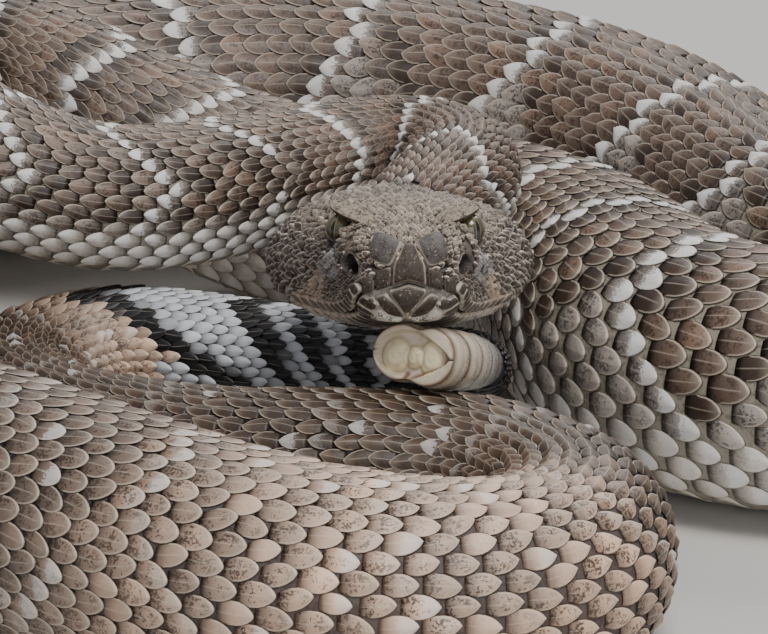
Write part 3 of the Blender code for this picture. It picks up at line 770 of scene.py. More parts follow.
def scaly_material(
    name, roughness, speck_size, speck_dark=1.0, bump=0.00006,
    rim_at=None, rim_share=0.42, core=0.0, flecks=0.0,
):
    """Skin or scale finish: painted tones, fine dark specks, dry sheen.

    A finish with rim_at adds each scale's pale rim, from that nearness to the
    edge on, its dark edge as painted shade of the gap under it, keel and white
    end, and a dark middle by `core`.
    flecks adds small pale marks.
    """
    graph = Graph(name)
    step, times = graph.step, graph.times
    colour, speckled = graph.attribute("tone")
    specks = graph.noise(speck_size, 3.0, 0.65)["Fac"]
    clouds = graph.noise(5.0 * speck_size, 2.0, 0.5)["Fac"]
    over = graph.sum_of("SUBTRACT", specks, step(clouds, 0.34, 0.66, 0.60, 0.44))
    strength = times(step(over, 0.0, 0.06), speckled, 0.88 * speck_dark)
    if rim_at is None:
        colour = graph.mix(colour, SPECK, strength)
        colour = graph.mix(colour, SCALE_RIM, step(specks, 0.57, 0.66, 0.0, flecks))
    else:
        spot, whiteness = graph.attribute("spot")
        parts = graph.node("SeparateColor", {"Color": spot})
        along, across, near_edge = parts["Red"], parts["Green"], parts["Blue"]
        ragged = times(graph.sum_of("SUBTRACT", specks, 0.5), 0.9)
        white = times(step(graph.sum_of("ADD", along, ragged), 0.42, 0.58), whiteness)
        colour = graph.mix(colour, WHITE_SCALE, white)
        calm = step(near_edge, rim_at - 0.14, rim_at + 0.06, 1.0, 0.12)
        fading = step(along, 0.45, 0.95, 1.0, 0.55)
        colour = graph.mix(colour, SPECK, times(strength, calm, step(white, 0.1, 0.9, 1.0, 0.15), fading))
        end = times(step(speckled, 0.02, 0.10), step(along, 0.55, 0.95, 0.0, 0.20))
        colour = graph.mix(colour, SCALE_RIM, end)
        keel = times(step(across, 0.02, 0.09, 0.24, 0.0), step(along, 0.72, 0.9, 1.0, 0.0))
        colour = graph.mix(colour, SCALE_RIM, keel)
        colour = graph.mix(colour, SPECK, times(step(near_edge, 0.1, rim_at, core, 0.0), speckled))
        rising = step(near_edge, rim_at, rim_at + 0.08, 0.0, rim_share)
        rim = times(rising, step(near_edge, 0.93, 0.97, 1.0, 0.0), step(speckled, 0.02, 0.10, 0.12, 1.0))
        colour = graph.mix(colour, SCALE_RIM, rim)
        # the outer edge of each scale is painted dark: painted shade of the gap under it
        colour = graph.mix(colour, SCALE_GAP_SHADE, step(near_edge, 0.94, 1.0, 0.0, 0.85))
    gloss = graph.node("MapRange", {"Value": specks, "To Min": roughness - 0.10, "To Max": roughness + 0.12})
    return graph.shade({
        "Base Color": colour, "Specular IOR Level": 0.3 if rim_at is None else 0.5,
        "Roughness": gloss["Result"], "Normal": graph.bump(specks, 0.5, bump),
    })


def eye_material():
    """Painted iris under a clear, wet-looking cap."""
    graph = Graph("eye")
    inputs = {"A": graph.attribute("tone")[0], "B": graph.noise(1.0 / 2.6, 3.0, 0.5)["Color"], "Factor": 0.75}
    colour = graph.node("Mix", inputs, data_type="RGBA", blend_type="MULTIPLY")["Result"]
    return graph.shade({"Base Color": colour, "Roughness": 0.30, "Coat Weight": 1.0, "Coat Roughness": 0.03})


def horn_material():
    """Satin, slightly waxy horn with fine growth lines."""
    graph = Graph("rattle_horn")
    fine = graph.noise(0.5, 4.0, 0.6)["Fac"]
    broad = graph.noise(2.6, 2.0, 0.5)["Fac"]
    colour = graph.mix(graph.attribute("tone")[0], RATTLE_BROWN, graph.step(broad, 0.52, 0.78, 0.0, 0.30))
    colour = graph.mix(colour, RATTLE_BROWN, graph.step(fine, 0.62, 0.74, 0.0, 0.35))
    return graph.shade({
        "Base Color": colour, "Roughness": graph.step(fine, 0.3, 0.7, 0.16, 0.34),
        "Normal": graph.bump(fine, 0.35, 0.00005),
    })


def make_skin(finish):
    """One unbroken skin from snout to tail end."""
    s = np.r_[np.arange(S_SNOUT + 0.6, 0.0, HEAD_SKIN_PITCH), np.arange(0.0, S_END, SKIN_PITCH), S_END - 0.2]
    s = s[:, None]
    turn = 2.0 * np.pi * np.arange(SKIN_SIDES) / SKIN_SIDES
    flat = raw_point(s, turn, 0.0)
    hollow = np.where(s < 0.0, face_hollow(flat[..., 1], flat[..., 2]), 0.0)
    grid = on_skin(s, turn, np.where(s < 0.0, face_relief(s, flat), 0.0) - hollow)
    tone = marking(s, turn)
    hind = np.maximum(smooth(HIND_FROM, HIND_TO, s), fade(-2.0, 30.0, s))
    under = blend(SKIN_CREAM, SKIN_BLUE, hind) * (0.85 - 0.35 * hind)[..., None]
    between = blend(tone[..., :3] * 0.35, under, 0.6)
    colour = blend(between, tone[..., :3] * 0.42, fade(-6.0, 2.0, s))
    # pits, nostrils and the mouth line are painted near-black: painted shade in their hollows
    tone[..., :3] = blend(colour, HOLLOW_SHADE, smooth(0.1, 0.5, hollow))
    points = np.concatenate([grid.reshape(-1, 3), [grid[0].mean(0), grid[-1].mean(0)]])
    tones = np.concatenate([tone.reshape(-1, 4), tone[:1, 0], tone[-1:, 0]])
    ring = np.arange(SKIN_SIDES)
    total = len(s) * SKIN_SIDES
    tris = np.concatenate([fan(ring, total), fan(total - SKIN_SIDES + ring, total + 1)[:, FAN_INSIDE_OUT]])
    return make_mesh("skin", finish, points, ring_quads(len(s), SKIN_SIDES), tris, tones)


def scale_template(steps):
    """One scale's grid: u along it, v across it, its outline and nearness to the edge."""
    along = np.sin(0.5 * np.pi * np.linspace(0.0, 1.0, steps[0] + 1))
    across = np.sin(0.5 * np.pi * np.linspace(-1.0, 1.0, steps[1] + 1))
    u, v = np.meshgrid(along, across, indexing="ij")
    tip = np.clip((u - SCALE_WIDEST) / (1.0 - SCALE_WIDEST), 0.0, 1.0)
    root = np.clip((SCALE_WIDEST - u) / SCALE_WIDEST, 0.0, 1.0)
    narrowing = (1.0 - tip**2.0) ** SCALE_BLUNT
    outline = np.maximum(narrowing * (1.0 - 0.30 * root**1.6), 0.03)
    near_edge = (tip**2.0 + (np.abs(v) * narrowing) ** (1.0 / SCALE_BLUNT)) ** SCALE_BLUNT
    return u, v, outline, near_edge * smooth(0.0, 0.30, u)


def belt(
    name, finish, s0, a0, length, half_angle, lift, keel, uv_span, seed,
    dome=0.16, steps=SCALE_STEPS, bed=0.0, paint=None, vary=0.09,
):
    """Scales at the given places, joined in one mesh.

    s0 and a0 are their middles, length and half_angle their sizes, and lift the
    height of the tips over the skin. paint gives each scale one colour, with its
    speckles and whiteness; without it the colour follows the skin's.
    """
    def each(values):
        return values[:, None, None]

    rng = np.random.default_rng(seed)
    u, v, outline, near_edge = scale_template(steps)
    count = len(s0)
    wiggle = rng.normal(0.0, 1.0, (count, 3))
    size = each(1.0 + 0.05 * wiggle[:, 1])
    s = each(s0) + (u - SCALE_MIDDLE) * each(length) * size
    a = each(a0) + v * outline * each(half_angle) * size + each(0.035 * wiggle[:, 0]) * (u - SCALE_MIDDLE)
    rim = 1.0 - np.abs(v) ** 2.2
    ridge = np.exp(-((v / 0.16) ** 2)) * smooth(0.10, 0.30, u) * fade(0.86, 0.98, u)
    height = each(lift) * (0.10 + 0.90 * u**0.8) * (0.55 + 0.45 * rim) + dome * rim + each(keel) * ridge
    height = height * each(1.0 + 0.10 * wiggle[:, 2])
    bed = np.zeros(count) + bed
    point = on_skin(s, a, height + each(bed))
    base = on_skin(s0 + 0.10 * length, a0, bed - 0.05)

    shade = each(np.clip(1.0 + vary * rng.normal(0.0, 1.0, count), 0.6, 1.5))
    if paint is None:
        mark = marking(s, a)
        colour = 0.55 * marking(s0, a0)[:, None, None, :3] + 0.45 * mark[..., :3]
        speckle, white = mark[..., 3], np.zeros(count)
    else:
        colour, speckle, white = paint
        colour, speckle = colour[:, None, None], each(speckle)
    # each scale is painted darker towards its root, down to 0.38: painted shade under the scale that laps
    # over it; shade is each scale's random tone
    colour = colour * (shade * (1.0 - 0.62 * fade(0.10, 0.55, u)))[..., None]
    tone = with_fourth(colour, speckle)
    spot = beside(u, np.abs(v), near_edge, each(white))

    per, wide = u.size, u.shape[1]
    grid = np.arange(per).reshape(u.shape)
    quads = beside(grid[:-1, :-1], grid[:-1, 1:], grid[1:, 1:], grid[1:, :-1]).reshape(-1, 4)
    around = np.concatenate([grid[0, :-1], grid[:-1, -1], grid[-1, :0:-1], grid[:0:-1, 0]])
    step = each(np.arange(count) * (per + 1))
    points = np.concatenate([point.reshape(count, per, 3), base[:, None]], axis=1)
    tones, spots = (
        np.concatenate([values.reshape(count, per, 4), values[:, :1, wide // 2]], axis=1)
        for values in (tone, spot)
    )
    at = beside((s0 - uv_span[0]) / (uv_span[1] - uv_span[0]), (a0 + np.pi) / (2.0 * np.pi))
    at = 0.02 + 0.96 * at[:, None]
    patch = UV_PATCH * beside(u.ravel() - 0.5, 0.5 * (v * outline).ravel())
    uv = np.concatenate([at + patch, at], axis=1).reshape(-1, 2)
    quads = (quads + step).reshape(-1, 4)
    tris = (fan(around, per) + step).reshape(-1, 3)
    return make_mesh(name, finish, points.reshape(-1, 3), quads, tris, tones, uv, spots)


def make_body_scales(finish):
    """Keeled scales in rows over back and flanks, in a few long pieces."""
    s, pitch, turns, _ = LATTICE
    count = np.arange(-1, int(turns[-1]))
    rows = np.arange(DORSAL_ROWS)
    s0 = np.concatenate([np.interp(count + 0.5 * (row % 2) + 1.0, turns, s) for row in rows])
    a0 = np.repeat((rows - (DORSAL_ROWS - 1) / 2) * ROW_ANGLE, len(count))
    keep = (s0 > 1.5) & (s0 < S_END - 2.0)
    s0, a0 = s0[keep], a0[keep]
    size = np.interp(s0, s, pitch)
    low_row = smooth(9.5, 12.0, np.abs(a0) / ROW_ANGLE)
    values = (
        s0, a0,
        (1.26 + 0.08 * low_row) * size / np.clip(surface_stretch(s0, a0), 0.7, 1.7) ** 0.8,
        (0.60 + 0.06 * low_row) * ROW_ANGLE,
        0.50 * (size / SCALE_PITCH) ** 0.5,
        (0.20 - 0.16 * low_row) * (size / SCALE_PITCH),
    )
    paint = body_paint(s0, a0, np.random.default_rng(5))
    edges = np.interp(np.linspace(0.0, turns[-1], BODY_PIECES + 1), turns, s)
    pieces = []
    for k in range(BODY_PIECES):
        part = (s0 >= edges[k]) & (s0 < edges[k + 1] + 1e-6 * (k == BODY_PIECES - 1))
        pieces.append(belt(
            f"scales_{k + 1}", finish, *(value[part] for value in values), (edges[k], edges[k + 1]), 11 + k,
            paint=[value[part] for value in paint],
        ))
    return pieces


def make_belly(finish):
    """Wide scutes across the belly, each lapping the next."""
    s, pitch, turns, _ = LATTICE
    s0 = np.interp(np.arange(0.25, turns[-1] - 0.3), turns, s)
    ones = np.ones(len(s0))
    return belt(
        "belly_scutes", finish, s0, np.pi * ones, 1.30 * np.interp(s0, s, pitch), 1.10 * BELLY_HALF * ones,
        0.30 * ones, 0.0 * ones, (0.0, S_END), 31, dome=0.02,
    )


def cell_uv(index, local):
    """Bake map of a plate in its own cell, from places within one of its middle."""
    return ((index % UV_CELLS, index // UV_CELLS) + 0.46 * local + 0.5) / UV_CELLS


def plate_part(index, corners, project, lift, colour, rim, dome=0.25, rim_from=0.80):
    """One plate with its corners cut round.

    project(first, second, lift) puts the outline's two coordinates on the head.
    """
    outline = np.asarray(corners, float)
    for cut in (0.14, 0.25):
        after = np.roll(outline, -1, axis=0)
        pair = [outline * (1.0 - cut) + after * cut, outline * cut + after * (1.0 - cut)]
        outline = np.stack(pair, axis=1).reshape(-1, 2)
    middle = outline.mean(0)
    share = np.array(PLATE_RINGS)[:, None]
    flat = middle + (outline[None] - middle) * share[..., None]
    shape = flat.shape[:2]
    height = lift * (1.0 - 0.95 * share**9) + dome * (1.0 - share**2) - 0.25 * (share == 1.0)
    grid = project(flat[..., 0], flat[..., 1], np.broadcast_to(height, shape))
    top, base = (project(middle[:1], middle[1:], np.array([at])) for at in (lift + dome, -0.4))
    edge = smooth(rim_from, rim_from + 0.10, share) * fade(0.97, 1.0, share)
    # the outermost ring of each plate, sunk into the skin, is painted darker: painted shade where the plate
    # meets the skin
    tint = blend(colour, rim, 0.85 * edge) * (1.0 - 0.7 * (share == 1.0))[..., None]
    tone = with_fourth(tint, 1.0 - 0.8 * edge)
    tones = np.concatenate([np.broadcast_to(tone, (*shape, 4)).reshape(-1, 4), [[*colour, 1.0]] * 2])
    local = np.concatenate([(flat - middle).reshape(-1, 2), np.zeros((2, 2))])
    ring = np.arange(shape[1])
    total = shape[0] * shape[1]
    quads = ring_quads(*shape)[:, INSIDE_OUT]
    tris = np.concatenate([fan(ring, total)[:, FAN_INSIDE_OUT], fan(total - shape[1] + ring, total + 1)])
    normal = np.cross(grid[0, shape[1] // 3] - top[0], grid[0, 0] - top[0])
    if normal @ (top[0] - base[0]) > 0.0:
        quads, tris = quads[:, ::-1], tris[:, ::-1]
    uv = cell_uv(index, local / np.abs(outline - middle).max())
    return np.concatenate([grid.reshape(-1, 3), top, base]), quads, tris, tones, uv


def ring_part(index, sign, centre, halves, spread, lift, lobes=12):
    """Raised rim of small lobes round a hole in the side of the head."""
    turn = 2.0 * np.pi * np.arange(72) / 72
    share = np.array((0.0, 0.12, 0.3, 0.5, 0.7, 0.88, 1.0))[:, None]
    y = centre[0] + (halves[0] + spread * share) * np.cos(turn)
    z = np.minimum(centre[1] + (halves[1] + spread * share) * np.sin(turn), RING_TOP)
    lobe = np.abs(np.sin(0.5 * lobes * turn)) ** 0.6
    height = lift * np.sin(np.pi * (0.06 + 0.90 * share)) ** 0.6 * (0.72 + 0.28 * lobe)
    grid = on_side(sign, y, z, height - 0.3 * (share == 1.0) - 0.5 * (share == 0.0))
    tint = blend(HEAD_DARK, HEAD_GREY, 0.7 * smooth(0.55, 0.8, share) * lobe)
    # the rim is painted darker towards the hole and between its lobes: painted shade in the hollow and the
    # creases
    inner = 0.12 + 0.88 * smooth(0.1, 0.45, share)
    tint = tint * (inner * (0.45 + 0.55 * lobe))[..., None]
    tones = with_fourth(tint, 1.0).reshape(-1, 4)
    circle = beside(np.cos(turn), np.sin(turn))
    uv = cell_uv(index, (0.5 + 0.5 * share[..., None]) * circle).reshape(-1, 2)
    quads = ring_quads(*y.shape)
    return grid.reshape(-1, 3), quads[:, ::-1] if sign > 0 else quads, NO_TRIANGLES, tones, uv


def lip_corners(first, low, high):
    """Four-sided plate beside the mouth line, from `low` to `high` off it."""
    y = np.array((first, first + 0.95 * LIP_PITCH))
    ends = beside(y, lip_level(y))
    along = unit(ends[1] - ends[0])
    out = np.array((-along[1], along[0]))
    return [ends[0] + out * low, ends[1] + out * low, ends[1] + out * high, ends[0] + out * high]


def make_head_plates(finish):
    """Plates of snout, lips and chin, the lobes of the face and the rims."""
    parts = [
        plate_part(0, ROSTRAL, on_face, PLATE_LIFT + 0.1, PLATE_GREY, PLATE_RIM),
        plate_part(1, MENTAL, on_face, PLATE_LIFT, PLATE_GREY, PLATE_RIM),
    ]
    for sign in (-1, 1):
        for corners, shift, colour, rim in (
            (NASAL, 0.0, PLATE_BLUE, PLATE_RIM), (FIRST_LIP, 0.0, PLATE_GREY, HEAD_GREY),
            (SECOND_LIP, 0.0, PLATE_GREY, HEAD_GREY), (FIRST_CHIN, JAW_OFFSET, PLATE_GREY, PLATE_RIM),
            (SECOND_CHIN, JAW_OFFSET, PLATE_GREY, PLATE_RIM),
            (CHIN_SHIELD, JAW_OFFSET, CHIN_WHITE, CHIN_WHITE),
        ):
            mirrored = np.array(corners) * (sign, 1.0) + (shift, 0.0)
            parts.append(plate_part(len(parts), mirrored, on_face, PLATE_LIFT, colour, rim))
        side = functools.partial(on_side, sign)
        for k in range(LIP_PLATES):
            first = LIP_FROM + k * LIP_PITCH
            warm = smooth(2.0, 8.0, k)
            corners = lip_corners(first, 0.16, 1.9)
            colour = blend(PLATE_GREY, HEAD_GREY, 0.5 * warm)
            rim = blend(PLATE_RIM, LIP_ORANGE, 0.45 * warm)
            parts.append(plate_part(len(parts), corners, side, 0.85, colour, rim, 0.15, 0.74))
            corners = lip_corners(first + 0.3, -0.22, -2.2)
            colour = blend(PLATE_GREY, CHIN_GREY, 0.7 * smooth(5.0, 8.0, k))
            rim = blend(PLATE_RIM, LIP_ORANGE, 0.3 * warm)
            parts.append(plate_part(len(parts), corners, side, 0.80, colour, rim, 0.12, 0.72))
        parts.append(ring_part(len(parts), sign, EYE[1:], (2.3, 2.3), 0.8, 0.75))
        hole = (PIT_HALF[0] - 0.25, PIT_HALF[1] - 0.25)
        parts.append(ring_part(len(parts), sign, PIT, hole, 0.45, 0.55, 7))
    return joined("head_plates", finish, parts)


def within(x, w, corners):
    """True where points of the seen face lie inside an outline, made a little smaller."""
    corners = np.asarray(corners, float)
    corners = corners.mean(0) + 0.88 * (corners - corners.mean(0))
    inside = np.zeros(np.shape(x), bool)
    for (x0, w0), (x1, w1) in zip(corners, np.roll(corners, -1, axis=0)):
        inside ^= ((w0 > w) != (w1 > w)) & (x < x0 + (w - w0) * (x1 - x0) / (w1 - w0 + 1e-12))
    return inside


def covered(x, y, z):
    """True where a plate, eye, pit or nostril leaves no room for small scales."""
    aside = np.abs(x)
    lip = lip_level(y)
    taken = (y < MOUTH_CORNER - 0.5) & (z < lip + 1.7) & (z > lip - 2.0)
    taken |= (aside > 6.0) & (np.hypot(y - EYE[1], z - EYE[2]) < 2.7)
    taken |= (aside > 6.0) & (in_oval(y, z, PIT, PIT_HALF) ** 2 < 1.3)
    taken |= in_oval(y, z, NOSTRIL, NOSTRIL_HALF) ** 2 < 1.3
    seen = math.cos(SEEN_FROM) * z + math.sin(SEEN_FROM) * y
    facing = (y < -31.0) & (z > 40.0)
    for corners in (NASAL, FIRST_LIP, SECOND_LIP, FIRST_CHIN, SECOND_CHIN, CHIN_SHIELD):
        taken |= facing & within(aside, seen, corners)
    for corners in (ROSTRAL, MENTAL):
        taken |= facing & within(x, seen, corners)
    from_brow = beside(aside - BROW[0], y - BROW[1], 0.0)
    brow_x, brow_y, _ = np.moveaxis(turned(from_brow, (0.0, 0.0, -BROW_TURN[2])), -1, 0)
    return taken | (z > 53.5) & (in_oval(brow_x, brow_y, (0.0, 0.0), BROW_HALF) ** 2 < 0.72)


def make_head_scales(crown_finish, cheek_finish):
    """Small scales over crown, cheeks and throat, smallest on the snout."""
    rows = []
    y, ring = -40.0, 0
    turn = np.linspace(-math.pi, math.pi, 721)
    while y < NECK_Y + 0.4:
        pitch = float(np.interp(y, (-39.0, -24.0, -6.0, NECK_Y), (0.95, 1.20, 1.85, 2.6)))
        for at, steepest in ((y, 0.0), (y + 0.42 * pitch, 1.35)):
            s = at - NECK_Y
            along = np.linalg.norm(np.diff(raw_point(s, turn, 0.0), axis=0), axis=1)
            along = np.r_[0.0, np.cumsum(along)]
            count = int(along[-1] / (0.92 * pitch))
            stops = (np.arange(count) + 0.5 * (ring % 2)) / count * along[-1]
            angle = np.interp(stops, along, turn)
            around = np.interp(stops, along, np.gradient(turn, along))
            spot = raw_point(s, angle, 0.0)
            free = ~covered(spot[:, 0] - section(s)[0], spot[:, 1], spot[:, 2])
            free &= surface_stretch(s, angle) > steepest
            rows.append(beside(s, angle, pitch, 0.60 * pitch * around)[free])
            ring += 1
        y += 0.84 * pitch
    s0, a0, size, half_angle = np.concatenate(rows).T
    loose = np.random.default_rng(3).normal(0.0, 1.0, (3, len(s0)))
    s0 = s0 + 0.20 * loose[0] * size
    a0 = a0 + 0.28 * loose[1] * half_angle
    half_angle = half_angle * np.clip(1.0 + 0.17 * loose[2], 0.65, 1.4)
    spot = raw_point(s0, a0, 0.0)
    steep = np.where(spot[:, 1] < -36.0, 1.0, 0.35)
    length = 1.26 * size / np.clip(surface_stretch(s0, a0), 0.9, 3.0) ** steep
    keel = 0.11 * size * fade(1.7, 2.2, np.abs(a0))
    values = s0, a0, length, half_angle, 0.26 + 0.16 * size, keel
    relief = face_relief(s0, spot)
    top = spot[:, 2] > crown_level(spot[:, 1]) - 1.0
    return [
        belt(
            name, finish, *(value[part] for value in values), (S_SNOUT, 1.0), seed,
            dome=0.15, steps=HEAD_SCALE_STEPS, bed=relief[part], vary=0.20,
        )
        for name, finish, part, seed in (
            ("crown_scales", crown_finish, top, 7), ("cheek_scales", cheek_finish, ~top, 8),
        )
    ]


def turned(points, degrees):
    """Points turned about X, then Y, then Z."""
    for axis, angle in enumerate(np.radians(degrees)):
        cos, sin = math.cos(angle), math.sin(angle)
        first, second = (axis + 1) % 3, (axis + 2) % 3
        one, two = points[..., first].copy(), points[..., second].copy()
        points = points.copy()
        points[..., first] = one * cos - two * sin
        points[..., second] = one * sin + two * cos
    return points


def globe(rows, columns):
    """Unit ball as a grid from the +Z pole down, with its quads."""
    down = np.pi * np.linspace(0.004, 0.996, rows)[:, None]
    turn = 2.0 * np.pi * np.arange(columns) / columns
    grid = beside(np.sin(down) * np.cos(turn), np.sin(down) * np.sin(turn), np.cos(down))
    return grid, ring_quads(rows, columns)[:, INSIDE_OUT]


def make_brows(finish):
    """Overhanging blade over each eye, sharp along its outer edge."""
    parts = []
    ball, quads = globe(72, 120)
    x, y, z = np.moveaxis(ball, -1, 0)
    lumps = np.sin(12.0 * x + 19.0 * y + 2.0 * np.sin(8.0 * y))
    lumps = lumps * np.sin(25.0 * y - 13.0 * x + 2.0 * np.sin(9.0 * x))
    shape = np.sign(ball) * np.abs(ball) ** np.array((0.92, 0.92, 1.3))
    shape[..., 2] += 0.20 * lumps * smooth(0.05, 0.35, z)
    top = smooth(-0.02, 0.22, z)
    # the lower half of each brow is painted dark brown: painted shade under its overhang
    tint = blend(BROW_UNDER_SHADE, blend(HEAD_GREY, HEAD_TAN, 0.5) * 0.8, top)
    tones = with_fourth(tint, top).reshape(-1, 4)
    pitch, roll, yaw = BROW_TURN
    for sign in (-1, 1):
        grid = turned(shape * BROW_HALF, (pitch, roll * sign, yaw * sign))
        grid = grid + (section(BROW[1] - NECK_Y)[0] + sign * BROW[0], BROW[1], BROW[2])
        uv = beside(0.25 + 0.5 * (sign > 0) + 0.22 * x, 0.25 + 0.5 * (z > 0.0) + 0.22 * y)
        parts.append((grid.reshape(-1, 3), quads, NO_TRIANGLES, tones, uv.reshape(-1, 2)))
    return joined("brows", finish, parts)


def make_eye(name, sign, finish):
    """Eyeball with an upright slit, facing out and a little forward."""
    ball, quads = globe(97, 160)
    centre = (section(EYE[1] - NECK_Y)[0] + sign * (EYE[0] + EYE_BULGE), EYE[1], EYE[2])
    facing = unit(np.array(EYE_GAZE) * (sign, 1.0, 1.0))
    across = unit(np.cross((0.0, 0.0, 1.0), facing))
    out, sideways, upward = ball @ facing, ball @ across, ball @ np.cross(facing, across)
    ring = np.degrees(np.arccos(np.clip(out, -1.0, 1.0)))
    slit = np.hypot(sideways / 0.13, upward / 0.68)
    iris = blend(IRIS_DARK, IRIS_GOLD, smooth(-0.45, 0.55, upward))
    iris = blend(iris, IRIS_PALE, fade(0.06, 0.16, np.abs(slit - 1.25)) * 0.8)
    threads = 0.5 + 0.5 * np.sin(34.0 * sideways + 3.0 * np.sin(7.0 * upward))
    iris = iris * ((0.72 + 0.28 * threads) * (1.0 - 0.5 * smooth(62.0, 74.0, ring)))[..., None]
    tint = blend(iris, PUPIL, fade(0.94, 1.06, slit) * (out > 0.0))
    tint = blend(tint, PUPIL, smooth(76.0, 84.0, ring))
    bulge = 1.0 + 0.02 * fade(20.0, 60.0, ring)
    grid = (centre + ball * EYE_RADIUS * bulge[..., None]).reshape(-1, 3)
    uv = 0.5 + 0.24 * beside(sideways + 2.0 * (out < 0.0) - 1.0, upward).reshape(-1, 2)
    return make_mesh(name, finish, grid, quads, NO_TRIANGLES, with_fourth(tint, 0.0), uv)


def rattle_place(share):
    """Middle of the rattle at a share of its length, and its axes there."""
    base = STATIONS[-1, 1:4]
    lead = unit(base - STATIONS[-5, 1:4])
    base = base + lead * CUT
    elbow, tip = base + lead * RATTLE_ELBOW, np.array(RATTLE_TIP)
    share = np.asarray(share, float)[..., None]
    middle = base * (1.0 - share) ** 2 + elbow * 2.0 * share * (1.0 - share) + tip * share**2
    ahead = unit((elbow - base) * (1.0 - share) + (tip - elbow) * share)
    side = unit(np.cross(ahead, (0.0, 0.0, 1.0)))
    return middle, ahead, side, np.cross(side, ahead)


def rattle_outline(turn):
    """Two-lobed outline of a segment, one lobe a little smaller."""
    sin, cos = np.sin(turn), np.cos(turn)
    groove = 1.0 - 0.17 * np.exp(-((np.sin(turn + RATTLE_TWIST) / 0.26) ** 2))
    reach = (np.abs(sin) ** RATTLE_POWER + np.abs(cos) ** RATTLE_POWER) ** (-1.0 / RATTLE_POWER)
    return sin * reach * RATTLE_HALF[0], cos * reach * groove * RATTLE_HALF[1] * (1.0 - 0.05 * sin)


def rattle_end(x, z, share):
    """How far the broken end's surface lies out along the rattle, and its tint."""
    far = np.where(x > 0.0, x / (0.90 * RATTLE_HALF[0]), -x / (0.86 * RATTLE_HALF[0]))
    high = np.where(x > 0.0, np.sqrt(np.clip(1.0 - far**2, 0.0, 1.0)), np.clip(1.0 - far, 0.0, 1.0) ** 0.7)
    inward = np.abs(z) / np.maximum(0.80 * RATTLE_HALF[1] * high, 0.05)
    out = 0.35 * (1.0 - share**12) - 1.35 * fade(0.78, 1.0, inward)
    warm, shade = np.zeros(np.shape(x)), np.zeros(np.shape(x))
    for along_x, along_z, wide, tall, bulge in RATTLE_LOBES:
        gap = in_oval(x, z, (along_x, along_z), (wide, tall))
        shade = np.maximum(shade, np.exp(-((gap - 1.0) / 0.13) ** 2))
        dome = bulge * np.sqrt(np.clip(1.0 - gap**2, 0.0, 1.0)) + 0.04 * np.cos(14.0 * gap) * (gap < 1.0)
        out = np.maximum(out, (dome - 1.25) * (gap < 1.0) + out * (gap >= 1.0))
        warm = np.maximum(warm, fade(0.85, 1.15, gap))
    inner = inward < 1.0
    # painted brown shade down the inner wall by the rim, in the far corner, round the lobes and in the notch
    # at their foot
    crevice_shade = smooth(0.70, 0.88, inward) * (inward < 1.02) * fade(-1.5, 1.5, x)
    crevice_shade = crevice_shade * fade(-0.5, 1.0, z)
    crevice_shade = np.maximum(crevice_shade, 0.85 * smooth(0.55, 0.95, far) * (x < 0.0) * (inward < 1.02))
    crevice_shade = np.maximum(crevice_shade, 0.32 * shade * inner)
    notch = fade(0.1, 0.8, np.abs(x - 0.8)) * fade(-3.2, -2.2, z) * inner
    return out, warm, np.maximum(crevice_shade, notch)


def make_rattle(finish):
    """Nested horny rings, the last one broken open over its inner lobes."""
    turn = 2.0 * np.pi * np.arange(RATTLE_COLUMNS) / RATTLE_COLUMNS
    x, z = rattle_outline(turn)
    fine = np.linspace(0.0, 1.0, 13)
    k = np.arange(RATTLE_SEGMENTS)[:, None]
    at = ((k + fine * 0.985) / RATTLE_SEGMENTS).ravel()
    swell = 0.87 + 0.13 * np.sin(np.pi * (0.10 + 0.80 * fine)) ** 0.6
    lines = 0.010 * np.cos(2.0 * np.pi * 3.0 * fine)
    width = ((swell + lines) * (0.34 + 0.66 * smooth(-2.5, 6.5, k))).reshape(-1, 1)
    ridge = np.tile(np.clip(np.minimum(fine, 1.0 - fine) / 0.16, 0.0, 1.0), RATTLE_SEGMENTS)
    middle, _, side, up = (axis[:, None] for axis in rattle_place(at))
    wall = middle + side * (x * width)[..., None] + up * (z * width)[..., None]
    horn = blend(RATTLE_DARK, RATTLE_GREY, smooth(0.18, 0.66, at))
    horn = blend(horn, RATTLE_CREAM, smooth(0.50, 0.94, at))
    # towards both ends of each segment the horn is painted much darker: painted shade in the grooves between
    # segments
    horn = horn * (1.0 - (1.0 - ridge)[:, None] * np.array((0.74, 0.81, 0.86)))

    share = np.linspace(1.0, 0.0, 34)[:, None]
    cap_x, cap_z = x * share * width[-1], z * share * width[-1]
    out, warm, crevice_shade = rattle_end(cap_x, cap_z, share)
    out = out - out[0:1].mean()
    end, ahead, side, up = rattle_place(1.0)
    cap = end + ahead * out[..., None] + side * cap_x[..., None] + up * cap_z[..., None]
    # the broken end is painted brown in its crevices: painted shade
    cap_tone = blend(blend(RATTLE_CREAM, RATTLE_YELLOW, 0.8 * warm), RATTLE_BROWN, 0.9 * crevice_shade)
    cap_tone = blend(cap_tone, RATTLE_BROWN, 0.5 * fade(0.0, 0.05, np.abs(share - 0.97)))
    grid = np.concatenate([wall, cap[1:]])
    tint = np.concatenate([np.broadcast_to(horn[:, None], wall.shape), cap_tone[1:]])
    tones = with_fourth(tint, 1.0).reshape(-1, 4)
    rows = len(grid)
    points = np.concatenate([grid.reshape(-1, 3), grid[:1].mean(1)])
    back = fan(np.arange(RATTLE_COLUMNS), rows * RATTLE_COLUMNS)[:, FAN_INSIDE_OUT]
    uv = beside(np.linspace(0.02, 0.98, rows)[:, None], turn / (2.0 * np.pi)).reshape(-1, 2)
    uv = np.concatenate([uv, [[0.01, 0.5]]])
    quads = ring_quads(rows, RATTLE_COLUMNS)[:, INSIDE_OUT]
    return make_mesh("rattle_rings", finish, points, quads, back, np.concatenate([tones, tones[:1]]), uv)


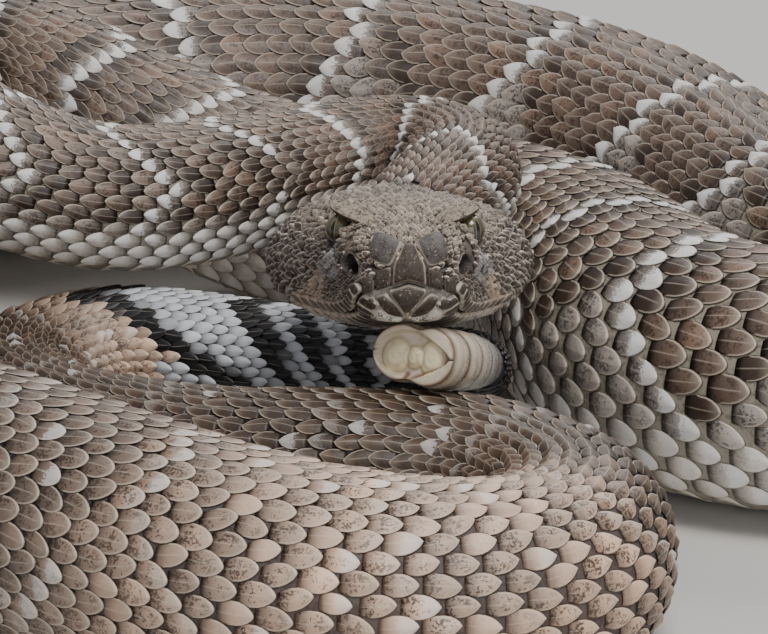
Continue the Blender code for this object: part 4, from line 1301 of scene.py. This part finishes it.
def add_object(name, data, location, rotation):
    """Object put in the scene at a place and turn."""
    made = bpy.data.objects.new(name, data)
    made.location = location
    made.rotation_euler = rotation
    bpy.context.scene.collection.objects.link(made)
    return made


def make_camera():
    """Long lens from in front, a little above, framed as the photograph."""
    back = np.array((0.0, -math.cos(ELEVATION), math.sin(ELEVATION)))
    lens = bpy.data.cameras.new("camera")
    lens.sensor_width = SENSOR
    lens.lens = LENS
    lens.clip_start = 0.05
    lens.clip_end = 20.0
    turn = (0.5 * math.pi - ELEVATION, 0.0, 0.0)
    bpy.context.scene.camera = add_object("camera", lens, place(TARGET + back * DISTANCE), turn)


def make_studio():
    """Pale floor and soft light."""
    bpy.ops.mesh.primitive_plane_add(size=6.0, location=(0.0, 0.0, -0.0002))
    floor = bpy.context.object
    floor.name = "floor"
    floor.data.materials.append(Graph("floor").shade({"Base Color": FLOOR_COLOUR, "Roughness": 0.9}))
    world = bpy.data.worlds.new("studio")
    world.use_nodes = True
    sky = world.node_tree.nodes["Background"]
    sky.inputs["Color"].default_value = SKY_COLOUR
    sky.inputs["Strength"].default_value = SKY_STRENGTH
    bpy.context.scene.world = world
    for name, position, size, power, tint in LAMPS:
        lamp = bpy.data.lights.new(name, "AREA")
        lamp.size = size
        lamp.energy = power
        lamp.color = tint
        x, y, z = np.array(LIT_POINT) - position
        tilt, yaw = math.atan2(math.hypot(x, y), -z), math.atan2(y, x) - 0.5 * math.pi
        add_object(name, lamp, position, (tilt, 0.0, yaw))


FLESH = ["head", "neck"] + [f"body_{k}" for k in range(1, 13)] + ["tail"]


def main():
    make_camera()
    make_studio()
    skin = make_skin(scaly_material("skin", 0.62, 0.7, 0.5))
    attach(skin, "root")
    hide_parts(*FLESH)
    scales = scaly_material("scales", 0.46, 0.46, rim_at=0.80)
    crown = scaly_material("crown_scales", 0.58, 0.42, 1.0, 0.00010, rim_at=0.72, rim_share=0.25, core=0.25)
    cheek = scaly_material("cheek_scales", 0.52, 0.34, 1.0, 0.00010, rim_at=0.58, rim_share=0.62, core=0.72)
    coat = [*make_body_scales(scales), make_belly(scales), *make_head_scales(crown, cheek)]
    coat.append(make_head_plates(scaly_material("head_plates", 0.52, 0.36, 1.0, 0.00014, flecks=0.35)))
    coat.append(make_brows(scaly_material("brows", 0.60, 0.46, 1.0, 0.00030, flecks=0.35)))
    for piece in coat:
        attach(piece, "root")
    rattle = make_rattle(horn_material())
    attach(rattle, "root")
    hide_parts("rattle")
    eye_finish = eye_material()
    for sign, node in ((-1, "eye_right"), (1, "eye_left")):
        eye = make_eye(f"{node}_ball", sign, eye_finish)
        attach(eye, "root")
        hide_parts(node)


main()
